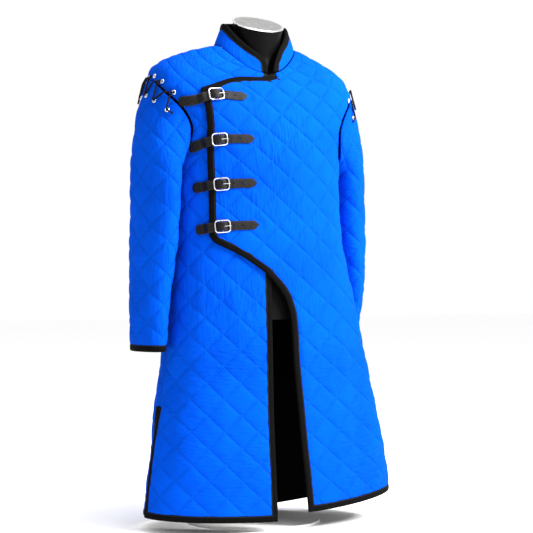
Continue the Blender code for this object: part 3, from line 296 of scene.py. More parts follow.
def curve(u, start, end, leave, arrive):
    """Cubic from start to end with these slopes at its two ends."""
    return ((1 + 2 * u) * (1 - u) ** 2 * start + u * (1 - u) ** 2 * leave
            + u * u * (3 - 2 * u) * end + u * u * (u - 1) * arrive)


def length(v):
    return np.sqrt((v * v).sum(-1))


def unit(v):
    return v / np.maximum(length(v), 1e-12)[..., None]


def stack(*parts):
    return np.stack(np.broadcast_arrays(*parts), -1).astype(float)


def noise(x, y, seed):
    """Smooth noise from -1 to 1, with one cell of its lattice to each unit of x and y."""
    lattice = np.random.default_rng(seed).uniform(-1.0, 1.0, (64, 64))
    i = np.floor(x).astype(int)
    j = np.floor(y).astype(int)
    u = ease(x - i)
    v = ease(y - j)
    a = blend(lattice[i % 64, j % 64], lattice[(i + 1) % 64, j % 64], u)
    b = blend(lattice[i % 64, (j + 1) % 64], lattice[(i + 1) % 64, (j + 1) % 64], u)
    return blend(a, b, v)


def refine(points, gaps, step, breaks=()):
    """A smooth line through rows of values at most `step` apart, with sharp turns at `breaks`."""
    points = np.asarray(points, dtype=float)
    gaps = np.maximum(np.asarray(gaps, dtype=float), 1e-6)
    shape = (-1,) + (1,) * (points.ndim - 1)
    slope = np.diff(points, axis=0) / gaps.reshape(shape)
    leave = slope.copy()
    arrive = slope.copy()
    for i in range(1, len(points) - 1):
        if i not in breaks:
            m = (slope[i - 1] * gaps[i] + slope[i] * gaps[i - 1]) / (gaps[i - 1] + gaps[i])
            leave[i] = m
            arrive[i - 1] = m
    result = []
    for i, gap in enumerate(gaps):
        count = max(1, math.ceil(gap / step - 1e-6))
        u = (np.arange(count) / count).reshape(shape)
        result.append(curve(u, points[i], points[i + 1], gap * leave[i], gap * arrive[i]))
    result.append(points[-1:])
    return np.concatenate(result)


# ---------------------------------------------------------------- the cloth's surfaces

def body_point(h, t):
    """Point of the body cloth's outer face at ring height h and angle t."""
    a = np.radians(t)
    s = np.sin(a)
    c = np.cos(a)
    power = BODY["square"](h)
    k = (np.abs(s) ** power + np.abs(c) ** power) ** (-1.0 / power)
    left = s > 0.0
    half = np.where(left, BODY["left"](h), BODY["right"](h))
    rise = np.where(left, BODY["rise_left"](h), BODY["rise_right"](h)) * s * s
    rise = rise + np.where(c < 0.0, BODY["rise_back"](h) * c * c, 0.0)
    depth = np.where(c > 0.0, BODY["front"](h), BODY["back"](h))
    return stack(half * k * s, BODY["mid"](h) - depth * k * c, HEM_CLEARANCE + h + rise)


def surface_normal(surface, p, q, dp, dq):
    along_p = surface(p + dp, q) - surface(p - dp, q)
    along_q = surface(p, q + dq) - surface(p, q - dq)
    return unit(np.cross(along_q, along_p))


def body_normal(h, t):
    return surface_normal(body_point, h, t, 0.002, 0.5)


def lifted(point, normal, lift):
    return point + normal * np.asarray(lift, dtype=float)[..., None]


def on_body(h, t, lift=0.0):
    return lifted(body_point(h, t), body_normal(h, t), lift)


def angle_at(h, x):
    """Angle t on the front of ring h at which the cloth is at this x."""
    h, x = np.broadcast_arrays(np.asarray(h, dtype=float), np.asarray(x, dtype=float))
    target = np.abs(x) / np.where(x > 0.0, BODY["left"](h), BODY["right"](h))
    power = BODY["square"](h)
    low = np.zeros(h.shape)
    high = np.full(h.shape, 90.0)
    for _ in range(40):
        middle = 0.5 * (low + high)
        a = np.radians(middle)
        k = (np.abs(np.sin(a)) ** power + np.abs(np.cos(a)) ** power) ** (-1.0 / power)
        under = np.sin(a) * k < target
        low = np.where(under, middle, low)
        high = np.where(under, high, middle)
    return np.copysign(low, x)


def stand_off(normal, t):
    """Level step of the over-lapping cloth away from the body."""
    flat = unit(normal * np.array((1.0, 1.0, 0.0)))
    return flat * (OVERLAP_STEP * (1.0 - ease(np.asarray(t, dtype=float) / 45.0)))[..., None]


def on_over(h, t, lift=0.0):
    normal = body_normal(h, t)
    return lifted(body_point(h, t), normal, lift) + stand_off(normal, t)


def back_place(h, t, lift=0.0):
    """The back below the slits' tops sits inside the fronts' side edges."""
    tuck = SLIT_TUCK * ease((SLIT_TOP + 0.02 - h) / 0.14) * np.abs(np.sin(np.radians(t))) ** 6
    return on_body(h, t, lift - tuck)


def armhole(side, degrees):
    a = np.radians(degrees)
    middle = 0.5 * (ARMPIT + SHOULDER_TIP)
    h = middle - 0.5 * (SHOULDER_TIP - ARMPIT) * np.cos(a)
    reach = np.where(np.sin(a) > 0.0, ARMHOLE_REACH["front"], ARMHOLE_REACH["back"])
    t = 90.0 - reach * np.sin(a)
    return h, t if side == "left" else -t


def collar_point(t, v):
    a = np.radians(t)
    end = np.where(np.cos(a) > 0.0, COLLAR_LEAN["front"], COLLAR_LEAN["back"])
    lean = blend(COLLAR_LEAN["side"], end, np.cos(a) ** 2)
    base = body_point(NECK_SEAM, t)
    return base + stack(-lean * v * np.sin(a), lean * v * np.cos(a), v)


def on_collar(t, v, lift=0.0):
    t, v = np.broadcast_arrays(np.asarray(t, dtype=float), np.asarray(v, dtype=float))
    normal = surface_normal(lambda q, p: collar_point(p, q), v, t, 0.002, 0.5)
    spot = lifted(collar_point(t, v), normal, lift)
    wrapped = np.where(t < -180.0, t + 360.0, t)
    over = (wrapped > 5.0) & (wrapped < 90.0)
    return spot + stand_off(normal, wrapped) * over[..., None]


def hanging_sleeve(side, z, degrees):
    sign = 1.0 if side == "left" else -1.0
    row = SLEEVE[side]
    a = np.radians(degrees)
    turn = -sign * np.radians(row["turn"](z))
    x = -sign * row["across"](z) * np.cos(a)
    y = -row["along"](z) * np.sin(a)
    return stack(sign * row["out"](z) + x * np.cos(turn) - y * np.sin(turn),
                 row["y"](z) + x * np.sin(turn) + y * np.cos(turn), HEM_CLEARANCE + z)


def sleeve_point(side, w, degrees):
    """Outer face of a sleeve: w is 0 at its head, 1 where it hangs plain and 2 at the cuff."""
    sign = 1.0 if side == "left" else -1.0
    w, degrees = np.broadcast_arrays(np.asarray(w, dtype=float), np.asarray(degrees, dtype=float))
    a = np.radians(degrees)
    out, down = LOOSE_GAP
    start = on_body(*armhole(side, degrees)) + np.array((sign * out, 0.0, -down))
    end = hanging_sleeve(side, SLEEVE_TUBE, degrees)
    size = length(end - start)
    leave = stack(sign * CAP_SPREAD * 0.5 * (1.0 - np.cos(a)), 0.0, -1.0) * size[..., None]
    arrive = stack(0.0, 0.0, -size)
    u = np.minimum(w, 1.0)[..., None]
    head = curve(u, start, end, leave, arrive)
    tube = hanging_sleeve(side, blend(SLEEVE_TUBE, CUFF, np.maximum(w, 1.0) - 1.0), degrees)
    return np.where((w >= 1.0)[..., None], tube, head)


def sleeve_normal(side, w, degrees):
    normal = surface_normal(lambda p, q: sleeve_point(side, p, q), w, degrees, 0.01, 1.0)
    return -normal if side == "left" else normal


def on_sleeve(side, w, degrees, lift=0.0):
    return lifted(sleeve_point(side, w, degrees), sleeve_normal(side, w, degrees), lift)


def cloth_map():
    """Distances over the body cloth: round it from centre front, and up it from the hem."""
    h = np.linspace(0.0, NECK_SEAM, 248)
    t = np.linspace(-180.0, 180.0, 361)
    grid = body_point(*np.meshgrid(h, t, indexing="ij"))
    up = np.zeros(grid.shape[:2])
    up[1:] = np.cumsum(length(np.diff(grid, axis=0)), axis=0)
    steps = length(np.diff(grid, axis=1))
    round_it = np.zeros(grid.shape[:2])
    round_it[:, 1:] = np.cumsum(steps, axis=1)
    round_it -= round_it[:, 180:181]
    return h, t, round_it, up


MAP_H, MAP_T, MAP_U, MAP_V = cloth_map()


def cloth_uv(h, t):
    """Position on the cloth in metres for ring heights and angles from -180 to 180."""
    i = np.clip((h - MAP_H[0]) / (MAP_H[1] - MAP_H[0]), 0.0, len(MAP_H) - 1.001)
    j = np.clip((t - MAP_T[0]) / (MAP_T[1] - MAP_T[0]), 0.0, len(MAP_T) - 1.001)
    a = i.astype(int)
    b = j.astype(int)
    i = i - a
    j = j - b
    out = []
    for table in (MAP_U, MAP_V):
        low = blend(table[a, b], table[a, b + 1], j)
        high = blend(table[a + 1, b], table[a + 1, b + 1], j)
        out.append(blend(low, high, i))
    return out


# ---------------------------------------------------------------- camera

def aim(obj, place, target):
    obj.location = place
    obj.rotation_euler = (Vector(target) - Vector(place)).to_track_quat("-Z", "Y").to_euler()


camera = bpy.data.objects.new("camera", bpy.data.cameras.new("camera"))
bpy.context.scene.collection.objects.link(camera)
camera.data.sensor_width = 36.0
camera.data.lens = 115.9
# Level, turned 25 degrees to the wearer's right, and moved a little sideways.
SINE, COSINE, AWAY, ASIDE, CAMERA_HEIGHT = 0.4226, 0.9063, 3.9, 0.02841, 0.578
camera.location = (-SINE * AWAY + COSINE * ASIDE, -COSINE * AWAY - SINE * ASIDE, CAMERA_HEIGHT)
camera.rotation_euler = (math.radians(90.0), 0.0, math.radians(-25.0))
bpy.context.scene.camera = camera
bpy.context.scene.view_settings.view_transform = "Standard"


# ---------------------------------------------------------------- materials

class Graph:
    """A material's node tree, with short ways to add and join nodes."""

    def __init__(self, name):
        self.material = bpy.data.materials.new(name)
        self.material.use_nodes = True
        self.tree = self.material.node_tree
        self.shader = self.tree.nodes["Principled BSDF"]

    def add(self, kind, inputs=None, **settings):
        node = self.tree.nodes.new("ShaderNode" + kind)
        for key, value in settings.items():
            setattr(node, key, value)
        for key, value in (inputs or {}).items():
            self.join(node.inputs[key], value)
        return node

    def join(self, socket, value):
        if isinstance(value, bpy.types.NodeSocket):
            self.tree.links.new(value, socket)
        else:
            socket.default_value = value

    def math(self, operation, a, b=0.0, c=0.0):
        return self.add("Math", {0: a, 1: b, 2: c}, operation=operation).outputs[0]

    def mul(self, a, b):
        return self.math("MULTIPLY", a, b)

    def mad(self, a, b, c):
        return self.math("MULTIPLY_ADD", a, b, c)

    def away(self, a, b=0.0):
        """Distance between two values."""
        return self.math("ABSOLUTE", self.math("SUBTRACT", a, b))

    def uv(self):
        split = self.add("SeparateXYZ", {0: self.add("UVMap", uv_map="cloth").outputs[0]})
        return split.outputs[0], split.outputs[1]

    def noise(self, vector, scale, detail=2.0, roughness=0.5):
        inputs = {"Scale": scale, "Detail": detail, "Roughness": roughness}
        if vector is not None:
            inputs["Vector"] = vector
        return self.add("TexNoise", inputs, noise_dimensions="3D").outputs[0]

    def scaled(self, u, v, su, sv, w=0.0):
        place = {0: self.mul(u, su), 1: self.mul(v, sv), 2: w}
        return self.add("CombineXYZ", place).outputs[0]

    def ramp(self, value, low, high, to_low=0.0, to_high=1.0, smooth=True):
        node = self.add("MapRange", {"Value": value, "From Min": low, "From Max": high,
                                     "To Min": to_low, "To Max": to_high})
        node.interpolation_type = "SMOOTHSTEP" if smooth else "LINEAR"
        return node.outputs[0]

    def mix(self, factor, a, b):
        node = self.add("Mix", data_type="RGBA")
        self.join(node.inputs[0], factor)
        self.join(node.inputs[6], a)
        self.join(node.inputs[7], b)
        return node.outputs[2]

    def finish(self, colour, roughness, height=None, distance=1.0, strength=1.0, **fixed):
        self.join(self.shader.inputs["Base Color"], colour)
        self.join(self.shader.inputs["Roughness"], roughness)
        for key, value in fixed.items():
            self.shader.inputs[key.replace("_", " ")].default_value = value
        if height is not None:
            bump = self.add("Bump", {"Strength": strength, "Distance": distance, "Height": height})
            self.join(self.shader.inputs["Normal"], bump.outputs["Normal"])
        return self.material


QUILT_STITCH = 0.0034      # length of a stitch and its gap
TAPE_STITCH = 0.0032
TAPE_STITCH_ROW = 0.0128   # its row, from the tape's outer edge
FABRIC_THREADS = 0.0011    # two threads of the weave
# Heights of the cloth's fine bumps.
GROOVE, PUCKER, STITCH_RISE, WEAVE_RISE, SLUB_RISE = 0.0011, 0.0056, 0.00030, 0.00005, 0.00008
# Linear colours of the blue cotton, with painted shade and painted highlights among them.
BLUE = {
    "cloth": (0.0002, 0.048, 0.430, 1.0), "faded": (0.0003, 0.062, 0.520, 1.0),
    # Painted shade: the colour in the grooves along the stitched lines and in the puckers' creases.
    "line": (0.0001, 0.020, 0.230, 1.0), "crease": (0.0001, 0.022, 0.250, 1.0),
    # Painted highlights: on the weave's raised threads, and on the quilting thread.
    "weave": (0.001, 0.095, 0.680, 1.0), "stitch_highlight": (0.002, 0.130, 0.800, 1.0),
}


def weave(g, u, v, pitch):
    """Plain weave: threads over and under each other, as a height from 0 to 1."""
    turn = math.tau / pitch
    a = g.math("SINE", g.mul(u, turn))
    b = g.math("SINE", g.mul(v, turn))
    return g.mad(g.mul(a, b), 0.5, 0.5)


def quilted_cotton():
    """Blue cotton stitched in diamonds. The second map, "quilt", holds the line counts."""
    g = Graph("quilted_cotton")
    u, v = g.uv()
    lines = g.add("SeparateXYZ", {0: g.add("UVMap", uv_map="quilt").outputs[0]})
    near = []
    for k in (0, 1):
        wrapped = g.math("FRACT", g.math("ADD", lines.outputs[k], 0.5))
        near.append(g.mul(g.away(wrapped, 0.5), LINE_GAP))
    gap = g.math("MINIMUM", near[0], near[1])
    groove = g.ramp(gap, 0.0, 0.0042)
    dash = []
    for k in (0, 1):
        beat = g.math("FRACT", g.mul(lines.outputs[1 - k], LINE_GAP / QUILT_STITCH))
        on_line = g.ramp(near[k], 0.0003, 0.0008, 1.0, 0.0)
        dash.append(g.mul(on_line, g.ramp(beat, 0.68, 0.78, 1.0, 0.0)))
    thread = g.math("MAXIMUM", dash[0], dash[1])
    lie = g.add("Attribute", attribute_name="lie", attribute_type="GEOMETRY").outputs["Fac"]
    pull = g.add("Attribute", attribute_name="pull", attribute_type="GEOMETRY").outputs["Fac"]
    upright = g.noise(g.scaled(u, v, 165.0, 30.0), 1.0, 3.0, 0.55)
    level = g.noise(g.scaled(u, v, 44.0, 170.0, 4.0), 1.0, 3.0, 0.55)
    pucker = blend_math(g, upright, level, lie)
    pucker = g.mul(g.math("SUBTRACT", pucker, 0.5), pull)
    cloth = weave(g, u, v, FABRIC_THREADS)
    slub = g.noise(g.scaled(u, v, 90.0, 900.0, 9.0), 1.0, 2.0)
    height = g.mad(groove, GROOVE, g.mul(pucker, PUCKER))
    for part, rise in ((thread, STITCH_RISE), (cloth, WEAVE_RISE), (slub, SLUB_RISE)):
        height = g.mad(part, rise, height)
    patch = g.noise(g.scaled(u, v, 6.0, 5.0, 2.0), 1.0, 4.0, 0.6)
    base = g.mix(g.ramp(patch, 0.3, 0.7), BLUE["cloth"], BLUE["faded"])
    # Painted shade: the cloth darkens towards each stitched line, where its groove lies in shade.
    base = g.mix(g.ramp(gap, 0.0004, 0.0030, 0.42, 0.0), base, BLUE["line"])
    # Painted shade: darker in the creases between the puckers.
    base = g.mix(g.mul(g.ramp(pucker, -0.22, 0.0, 1.0, 0.0), 0.30), base, BLUE["crease"])
    # Painted highlight: the weave's raised threads are lighter, as if lit, darker between them.
    base = g.mix(g.mul(cloth, 0.10), base, BLUE["weave"])
    # The quilting thread's stitches, coloured lighter blue as a painted highlight on the thread.
    base = g.mix(g.mul(thread, 0.55), base, BLUE["stitch_highlight"])
    rough = g.ramp(slub, 0.2, 0.8, 0.72, 0.88, smooth=False)
    return g.finish(base, rough, height, Sheen_Weight=0.015, Sheen_Roughness=0.45,
                    Sheen_Tint=(0.02, 0.30, 1.0, 1.0), Specular_IOR_Level=0.01)


def blend_math(g, a, b, factor):
    return g.mad(g.math("SUBTRACT", b, a), factor, a)


def black_cloth(name, colour, lighter, pitch, stitch_at=None):
    """Black cotton: a tape with a row of stitches near its inner edge, or a plain lining."""
    g = Graph(name)
    u, v = g.uv()
    cloth = weave(g, u, v, pitch)
    soft = g.noise(g.scaled(u, v, 60.0, 120.0), 1.0, 3.0, 0.6)
    height = g.mad(soft, 0.0012, g.mul(cloth, 0.00012))
    base = g.mix(g.ramp(soft, 0.3, 0.75), colour, lighter)
    # Painted highlight: the weave's raised threads are lighter, as if lit, darker between them.
    base = g.mix(g.mul(cloth, 0.25), base, tuple(1.6 * c for c in lighter[:3]) + (1.0,))
    if stitch_at is not None:
        row = g.away(v, stitch_at)
        beat = g.math("FRACT", g.mul(u, 1.0 / TAPE_STITCH))
        thread = g.mul(g.ramp(row, 0.0003, 0.0007, 1.0, 0.0),
                        g.ramp(beat, 0.66, 0.78, 1.0, 0.0))
        dent = g.ramp(row, 0.0, 0.0016)
        height = g.mad(dent, 0.0005, height)
        height = g.mad(thread, 0.0003, height)
        base = g.mix(g.mul(thread, 0.7), base, (0.035, 0.035, 0.037, 1.0))
    return g.finish(base, g.ramp(soft, 0.2, 0.8, 0.70, 0.90, smooth=False), height,
                    Sheen_Weight=0.005, Sheen_Roughness=0.5, Specular_IOR_Level=0.03)


def black_leather():
    """Grained leather with a crease and wear along its edges."""
    g = Graph("black_leather")
    u, v = g.uv()
    place = g.add("CombineXYZ", {0: u, 1: v, 2: 0.0}).outputs[0]
    cells = g.add("TexVoronoi", {"Vector": place, "Scale": 900.0}, feature="DISTANCE_TO_EDGE")
    grain = g.ramp(cells.outputs[0], 0.0, 0.25)
    soft = g.noise(place, 160.0, 4.0, 0.6)
    crease = g.ramp(g.math("ABSOLUTE", g.math("SUBTRACT", g.math("ABSOLUTE", v), 0.0082)),
                    0.0, 0.0007)
    worn = g.ramp(g.math("ABSOLUTE", v), 0.0088, 0.0100)
    base = g.mix(g.ramp(soft, 0.35, 0.7), (0.0040, 0.0036, 0.0034, 1.0),
                 (0.0085, 0.0075, 0.0068, 1.0))
    base = g.mix(g.mul(worn, 0.6), base, (0.018, 0.015, 0.013, 1.0))
    height = g.mad(grain, 0.00010, g.mul(soft, 0.00035))
    height = g.mad(crease, 0.00025, height)
    return g.finish(base, g.ramp(soft, 0.2, 0.8, 0.36, 0.60, smooth=False), height,
                    Specular_IOR_Level=0.13)


def metal(name, colour, darker, low, high, scale, stretch=(1.0, 1.0, 1.0)):
    """Metal whose roughness runs from low to high over a fine grain."""
    g = Graph(name)
    place = g.add("TexCoord").outputs["Object"]
    place = g.add("Mapping", {"Vector": place, "Scale": stretch}).outputs[0]
    fine = g.noise(place, scale, 3.0, 0.6)
    broad = g.noise(g.add("TexCoord").outputs["Object"], 60.0, 3.0, 0.6)
    base = g.mix(g.ramp(broad, 0.35, 0.7), darker, colour)
    return g.finish(base, g.ramp(fine, 0.25, 0.75, low, high, smooth=False),
                    fine, distance=0.00006, strength=0.6, Metallic=1.0)


def painted(name, colour, lighter, rough, scale, depth):
    """Paint or enamel with a faint grain."""
    g = Graph(name)
    place = g.add("TexCoord").outputs["Object"]
    fine = g.noise(place, scale, 4.0, 0.6)
    broad = g.noise(place, 14.0, 3.0, 0.5)
    base = g.mix(g.ramp(broad, 0.3, 0.7), colour, lighter)
    return g.finish(base, g.ramp(fine, 0.2, 0.8, rough - 0.08, rough + 0.08, smooth=False), fine,
                    distance=depth, Specular_IOR_Level=0.06)


def braided_lace():
    """Round plaited cord: two sets of threads that wind opposite ways."""
    g = Graph("black_lace")
    u, v = g.uv()
    across = g.mul(u, math.tau * 3.0)
    along = g.mul(v, math.tau / 0.0030)
    a = g.math("SINE", g.math("ADD", across, along))
    b = g.math("SINE", g.math("SUBTRACT", across, along))
    plait = g.math("MAXIMUM", a, b)
    # Painted shade and highlight: darker between the plait's strands, lighter on their crowns.
    base = g.mix(g.ramp(plait, -0.2, 1.0), (0.0015, 0.0015, 0.0016, 1.0),
                 (0.007, 0.007, 0.0075, 1.0))
    return g.finish(base, g.ramp(plait, -0.2, 1.0, 0.85, 0.62, smooth=False), plait,
                    distance=0.00025, Sheen_Weight=0.02, Sheen_Roughness=0.4,
                    Specular_IOR_Level=0.08)


MATERIALS = {
    "quilted_cotton": quilted_cotton(),
    "black_lining": black_cloth("black_lining", (0.0004, 0.0004, 0.0004, 1.0),
                                (0.0008, 0.0008, 0.0009, 1.0), 0.0009),
    "black_binding": black_cloth("black_binding", (0.0012, 0.0012, 0.0011, 1.0),
                                 (0.0026, 0.0025, 0.0023, 1.0), 0.0012, TAPE_STITCH_ROW),
    "black_leather": black_leather(),
    "nickel_steel": metal("nickel_steel", (0.80, 0.80, 0.81, 1.0), (0.55, 0.55, 0.56, 1.0), 0.16,
                          0.30, 420.0),
    "brushed_steel": metal("brushed_steel", (0.33, 0.33, 0.325, 1.0), (0.25, 0.25, 0.248, 1.0),
                           0.34, 0.50, 55.0, (1.0, 26.0, 26.0)),
    "bright_rim": metal("bright_rim", (0.88, 0.88, 0.89, 1.0), (0.74, 0.74, 0.75, 1.0), 0.12, 0.22,
                        300.0),
    "black_lace": braided_lace(),
    "form_black": painted("form_black", (0.0008, 0.0008, 0.0008, 1.0),
                          (0.0014, 0.0014, 0.0015, 1.0), 0.42, 900.0, 0.00012),
    "white_enamel": painted("white_enamel", (0.80, 0.80, 0.79, 1.0), (0.84, 0.84, 0.83, 1.0), 0.35,
                            500.0, 0.00004),
}


# ---------------------------------------------------------------- mesh building

def make_mesh(name, points, quads, materials, slots=None, maps=None, values=None):
    """A mesh piece from arrays, riding on the body, with its maps given for each point."""
    mesh = bpy.data.meshes.new(name)
    mesh.vertices.add(len(points))
    mesh.vertices.foreach_set("co", np.asarray(points, dtype=np.float32).ravel())
    sizes = np.array([len(q) for q in quads])
    flat = np.concatenate([np.asarray(q) for q in quads])
    mesh.loops.add(len(flat))
    mesh.loops.foreach_set("vertex_index", flat.astype(np.int32))
    mesh.polygons.add(len(sizes))
    starts = np.concatenate(([0], np.cumsum(sizes)[:-1]))
    mesh.polygons.foreach_set("loop_start", starts.astype(np.int32))
    if slots is not None:
        mesh.polygons.foreach_set("material_index", np.asarray(slots, dtype=np.int32))
    mesh.update(calc_edges=True)
    for key, value in (maps or {}).items():
        layer = mesh.uv_layers.new(name=key)
        layer.data.foreach_set("uv", np.asarray(value, dtype=np.float32)[flat].ravel())
    for key, value in (values or {}).items():
        layer = mesh.attributes.new(key, "FLOAT", "POINT")
        layer.data.foreach_set("value", np.asarray(value, dtype=np.float32).ravel())
    mesh.validate()
    mesh.shade_smooth()
    for material in materials:
        mesh.materials.append(MATERIALS[material])
    obj = bpy.data.objects.new(name, mesh)
    bpy.context.scene.collection.objects.link(obj)
    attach(obj, "root")
    return obj


def face_out(obj):
    """Turn a closed piece's faces so that they all look outwards."""
    work = bmesh.new()
    work.from_mesh(obj.data)
    bmesh.ops.recalc_face_normals(work, faces=work.faces)
    work.to_mesh(obj.data)
    work.free()


def capped(rows, cols):
    """Faces of a closed bar: rings one after the other, with a flat face at each end."""
    ends = [tuple(range(cols))[::-1], tuple((rows - 1) * cols + np.arange(cols))]
    return [tuple(f) for f in grid_faces(rows, cols, ring=True)] + ends


def running_length(points):
    """Distance of each point of a path from its first."""
    return np.concatenate(([0.0], np.cumsum(length(np.diff(points, axis=0)))))


def grid_faces(rows, cols, ring=False, offset=0, turned=False):
    across = cols if ring else cols - 1
    i, j = np.meshgrid(np.arange(rows - 1), np.arange(across), indexing="ij")
    k = (j + 1) % cols
    faces = np.stack((i * cols + j, i * cols + k, (i + 1) * cols + k, (i + 1) * cols + j), -1)
    faces = faces.reshape(-1, 4) + offset
    return faces[:, ::-1] if turned else faces


def edge_faces(rows, cols, ring, turned):
    """Faces that close a wall round its border, between two grids one after the other."""
    behind = rows * cols
    i, j = np.arange(rows - 1), np.arange(cols if ring else cols - 1)
    k = (j + 1) % cols
    pairs = [(k, j), ((rows - 1) * cols + j, (rows - 1) * cols + k)]
    if not ring:
        pairs += [(i * cols, (i + 1) * cols), ((i + 1) * cols + cols - 1, i * cols + cols - 1)]
    faces = np.concatenate([np.stack((a, b, b + behind, a + behind), -1) for a, b in pairs])
    return faces[:, ::-1] if turned else faces


def outwards(points, normals, faces):
    """True if the faces' own normals agree with the surface's."""
    sample = faces[len(faces) // 2]
    own = np.cross(points[sample[1]] - points[sample[0]], points[sample[3]] - points[sample[0]])
    return float(np.dot(own, normals[sample[0]])) > 0.0


def cloth_wall(name, outer, inner, normals, uv, quilt, lie, pull, ring=False, back="black_lining",
               front="quilted_cotton"):
    """Closed cloth between an outer and an inner grid, with its quilting maps."""
    rows, cols = outer.shape[:2]
    points = np.concatenate((outer.reshape(-1, 3), inner.reshape(-1, 3)))
    faces = grid_faces(rows, cols, ring)
    turned = not outwards(points, normals.reshape(-1, 3), faces)
    faces = grid_faces(rows, cols, ring, turned=turned)
    under = grid_faces(rows, cols, ring, rows * cols, turned=not turned)
    border = edge_faces(rows, cols, ring, turned)
    quads = np.concatenate((faces, under, border))
    slots = np.concatenate((np.zeros(len(faces)), np.ones(len(under)), np.zeros(len(border))))
    twice = lambda a: np.concatenate((a.reshape(rows * cols, -1),) * 2)
    maps = {"cloth": twice(uv)}
    if quilt is not None:
        maps["quilt"] = twice(quilt)
    values = {"lie": twice(lie), "pull": twice(pull)} if lie is not None else None
    return make_mesh(name, points, quads, (front, back), slots, maps, values)


def lattice(panel, u, v):
    """Line counts of the two families of quilting lines."""
    u0, v0, lean = PHASE[panel]
    a = (u + lean * (v - v0) - u0) / DIAMOND[0]
    b = (v - v0) / DIAMOND[1]
    return np.stack((a + b, a - b), -1)


def relief(panel, u, v, quilt, lie, pull, seed):
    """Height of the quilting, its puckers and the main folds above the plain surface."""
    near = np.abs(quilt - np.round(quilt)) * LINE_GAP
    ridge = 1.0 - np.exp(-((near / RIDGE) ** 2))
    dome = np.sin(np.pi * np.minimum(near / LINE_GAP, 0.5))
    height = PUFF * (0.62 * ridge[..., 0] * ridge[..., 1] + 0.38 * dome[..., 0] * dome[..., 1])
    upright = noise(u / 0.0085, v / 0.032, seed) + 0.6 * noise(u / 0.014, v / 0.050, seed + 1)
    columns = 0.55 + 0.45 * np.cos(math.tau * u / 0.041 + 2.0 * noise(u / 0.08, v / 0.20, seed + 2))
    level = (noise(u / 0.024, v / 0.0075, seed + 3) + 0.5 * noise(u / 0.030, v / 0.012, seed + 4)) \
        * columns
    height = height + PUCKER_TALL * pull * blend(upright, level, lie)
    height = height + 0.0010 * noise(u / 0.060, v / 0.075, seed + 5)
    height = height + 0.0014 * noise(u / 0.130, v / 0.170, seed + 6)
    for u0, v0, u1, v1, width, tall in FOLDS[panel]:
        run = np.array((u1 - u0, v1 - v0))
        along = np.clip(((u - u0) * run[0] + (v - v0) * run[1]) / (run @ run), 0.0, 1.0)
        away = np.hypot(u - u0 - along * run[0], v - v0 - along * run[1])
        bend = 1.0 + 0.35 * noise(along * 3.0, np.zeros_like(along) + tall * 1000.0, seed + 7)
        height = height + tall * bend * np.exp(-((away / width) ** 2)) * (0.55 + 0.45 * np.sin(
            np.pi * np.clip(along, 0.04, 0.96)))
    return height


def border_distance(grid, ring=False):
    """Distance of each point of a grid from its rows' and columns' ends."""
    rows = length(np.diff(grid, axis=0))
    up = np.zeros(grid.shape[:2])
    up[1:] = np.cumsum(rows, axis=0)
    best = np.minimum(up, up[-1:] - up)
    if not ring:
        across = np.zeros(grid.shape[:2])
        across[:, 1:] = np.cumsum(length(np.diff(grid, axis=1)), axis=1)
        best = np.minimum(best, np.minimum(across, across[:, -1:] - across))
    return best


def clear_of(points, spots, reach, fall):
    """0 within `reach` of any of the spots, rising to 1 over `fall`."""
    flat = points.reshape(-1, 3)
    best = np.full(len(flat), 1e9)
    for spot in spots:
        best = np.minimum(best, ((flat - spot) ** 2).sum(-1))
    return ease((np.sqrt(best) - reach) / fall).reshape(points.shape[:-1])


# ---------------------------------------------------------------- edges and bindings

def inset(place, path, width, turn):
    """Move a path on a surface sideways by a width, with mitred corners."""
    p, q = np.array(path, dtype=float).T
    here = place(p, q)
    dp, dq = 0.0005, 0.2
    normal = surface_normal(place, p, q, dp, dq)
    run = np.diff(here, axis=0)
    before = unit(np.cross(normal[1:], run) * turn)
    after = unit(np.cross(normal[:-1], run) * turn)
    shift = np.zeros_like(here)
    shift[0] = after[0]
    shift[-1] = before[-1]
    inside = before[:-1] + after[1:]
    shift[1:-1] = inside / (1.0 + (before[:-1] * after[1:]).sum(-1))[:, None]
    along_p = (place(p + dp, q) - here) / dp
    along_q = (place(p, q + dq) - here) / dq
    matrix = np.stack((along_p, along_q), -1)
    steps = [np.linalg.lstsq(m, s * width, rcond=None)[0] for m, s in zip(matrix, shift)]
    return np.stack((p, q), -1) + np.array(steps)


# Section of the tape: part of its width in from the edge, and height above the cloth's face.
TAPE_SECTION = (
    (1.02, -0.0006), (0.985, 0.0006), (0.93, 0.0010), (0.86, 0.0007), (0.79, 0.0011),
    (0.60, 0.0014), (0.36, 0.0014), (0.14, 0.0010), (0.04, 0.0001), (0.00, -0.0014),
    (0.00, -0.0034), (0.04, -0.0049), (0.14, -0.0057), (0.50, -0.0059), (0.93, -0.0057),
    (1.00, -0.0051),
)


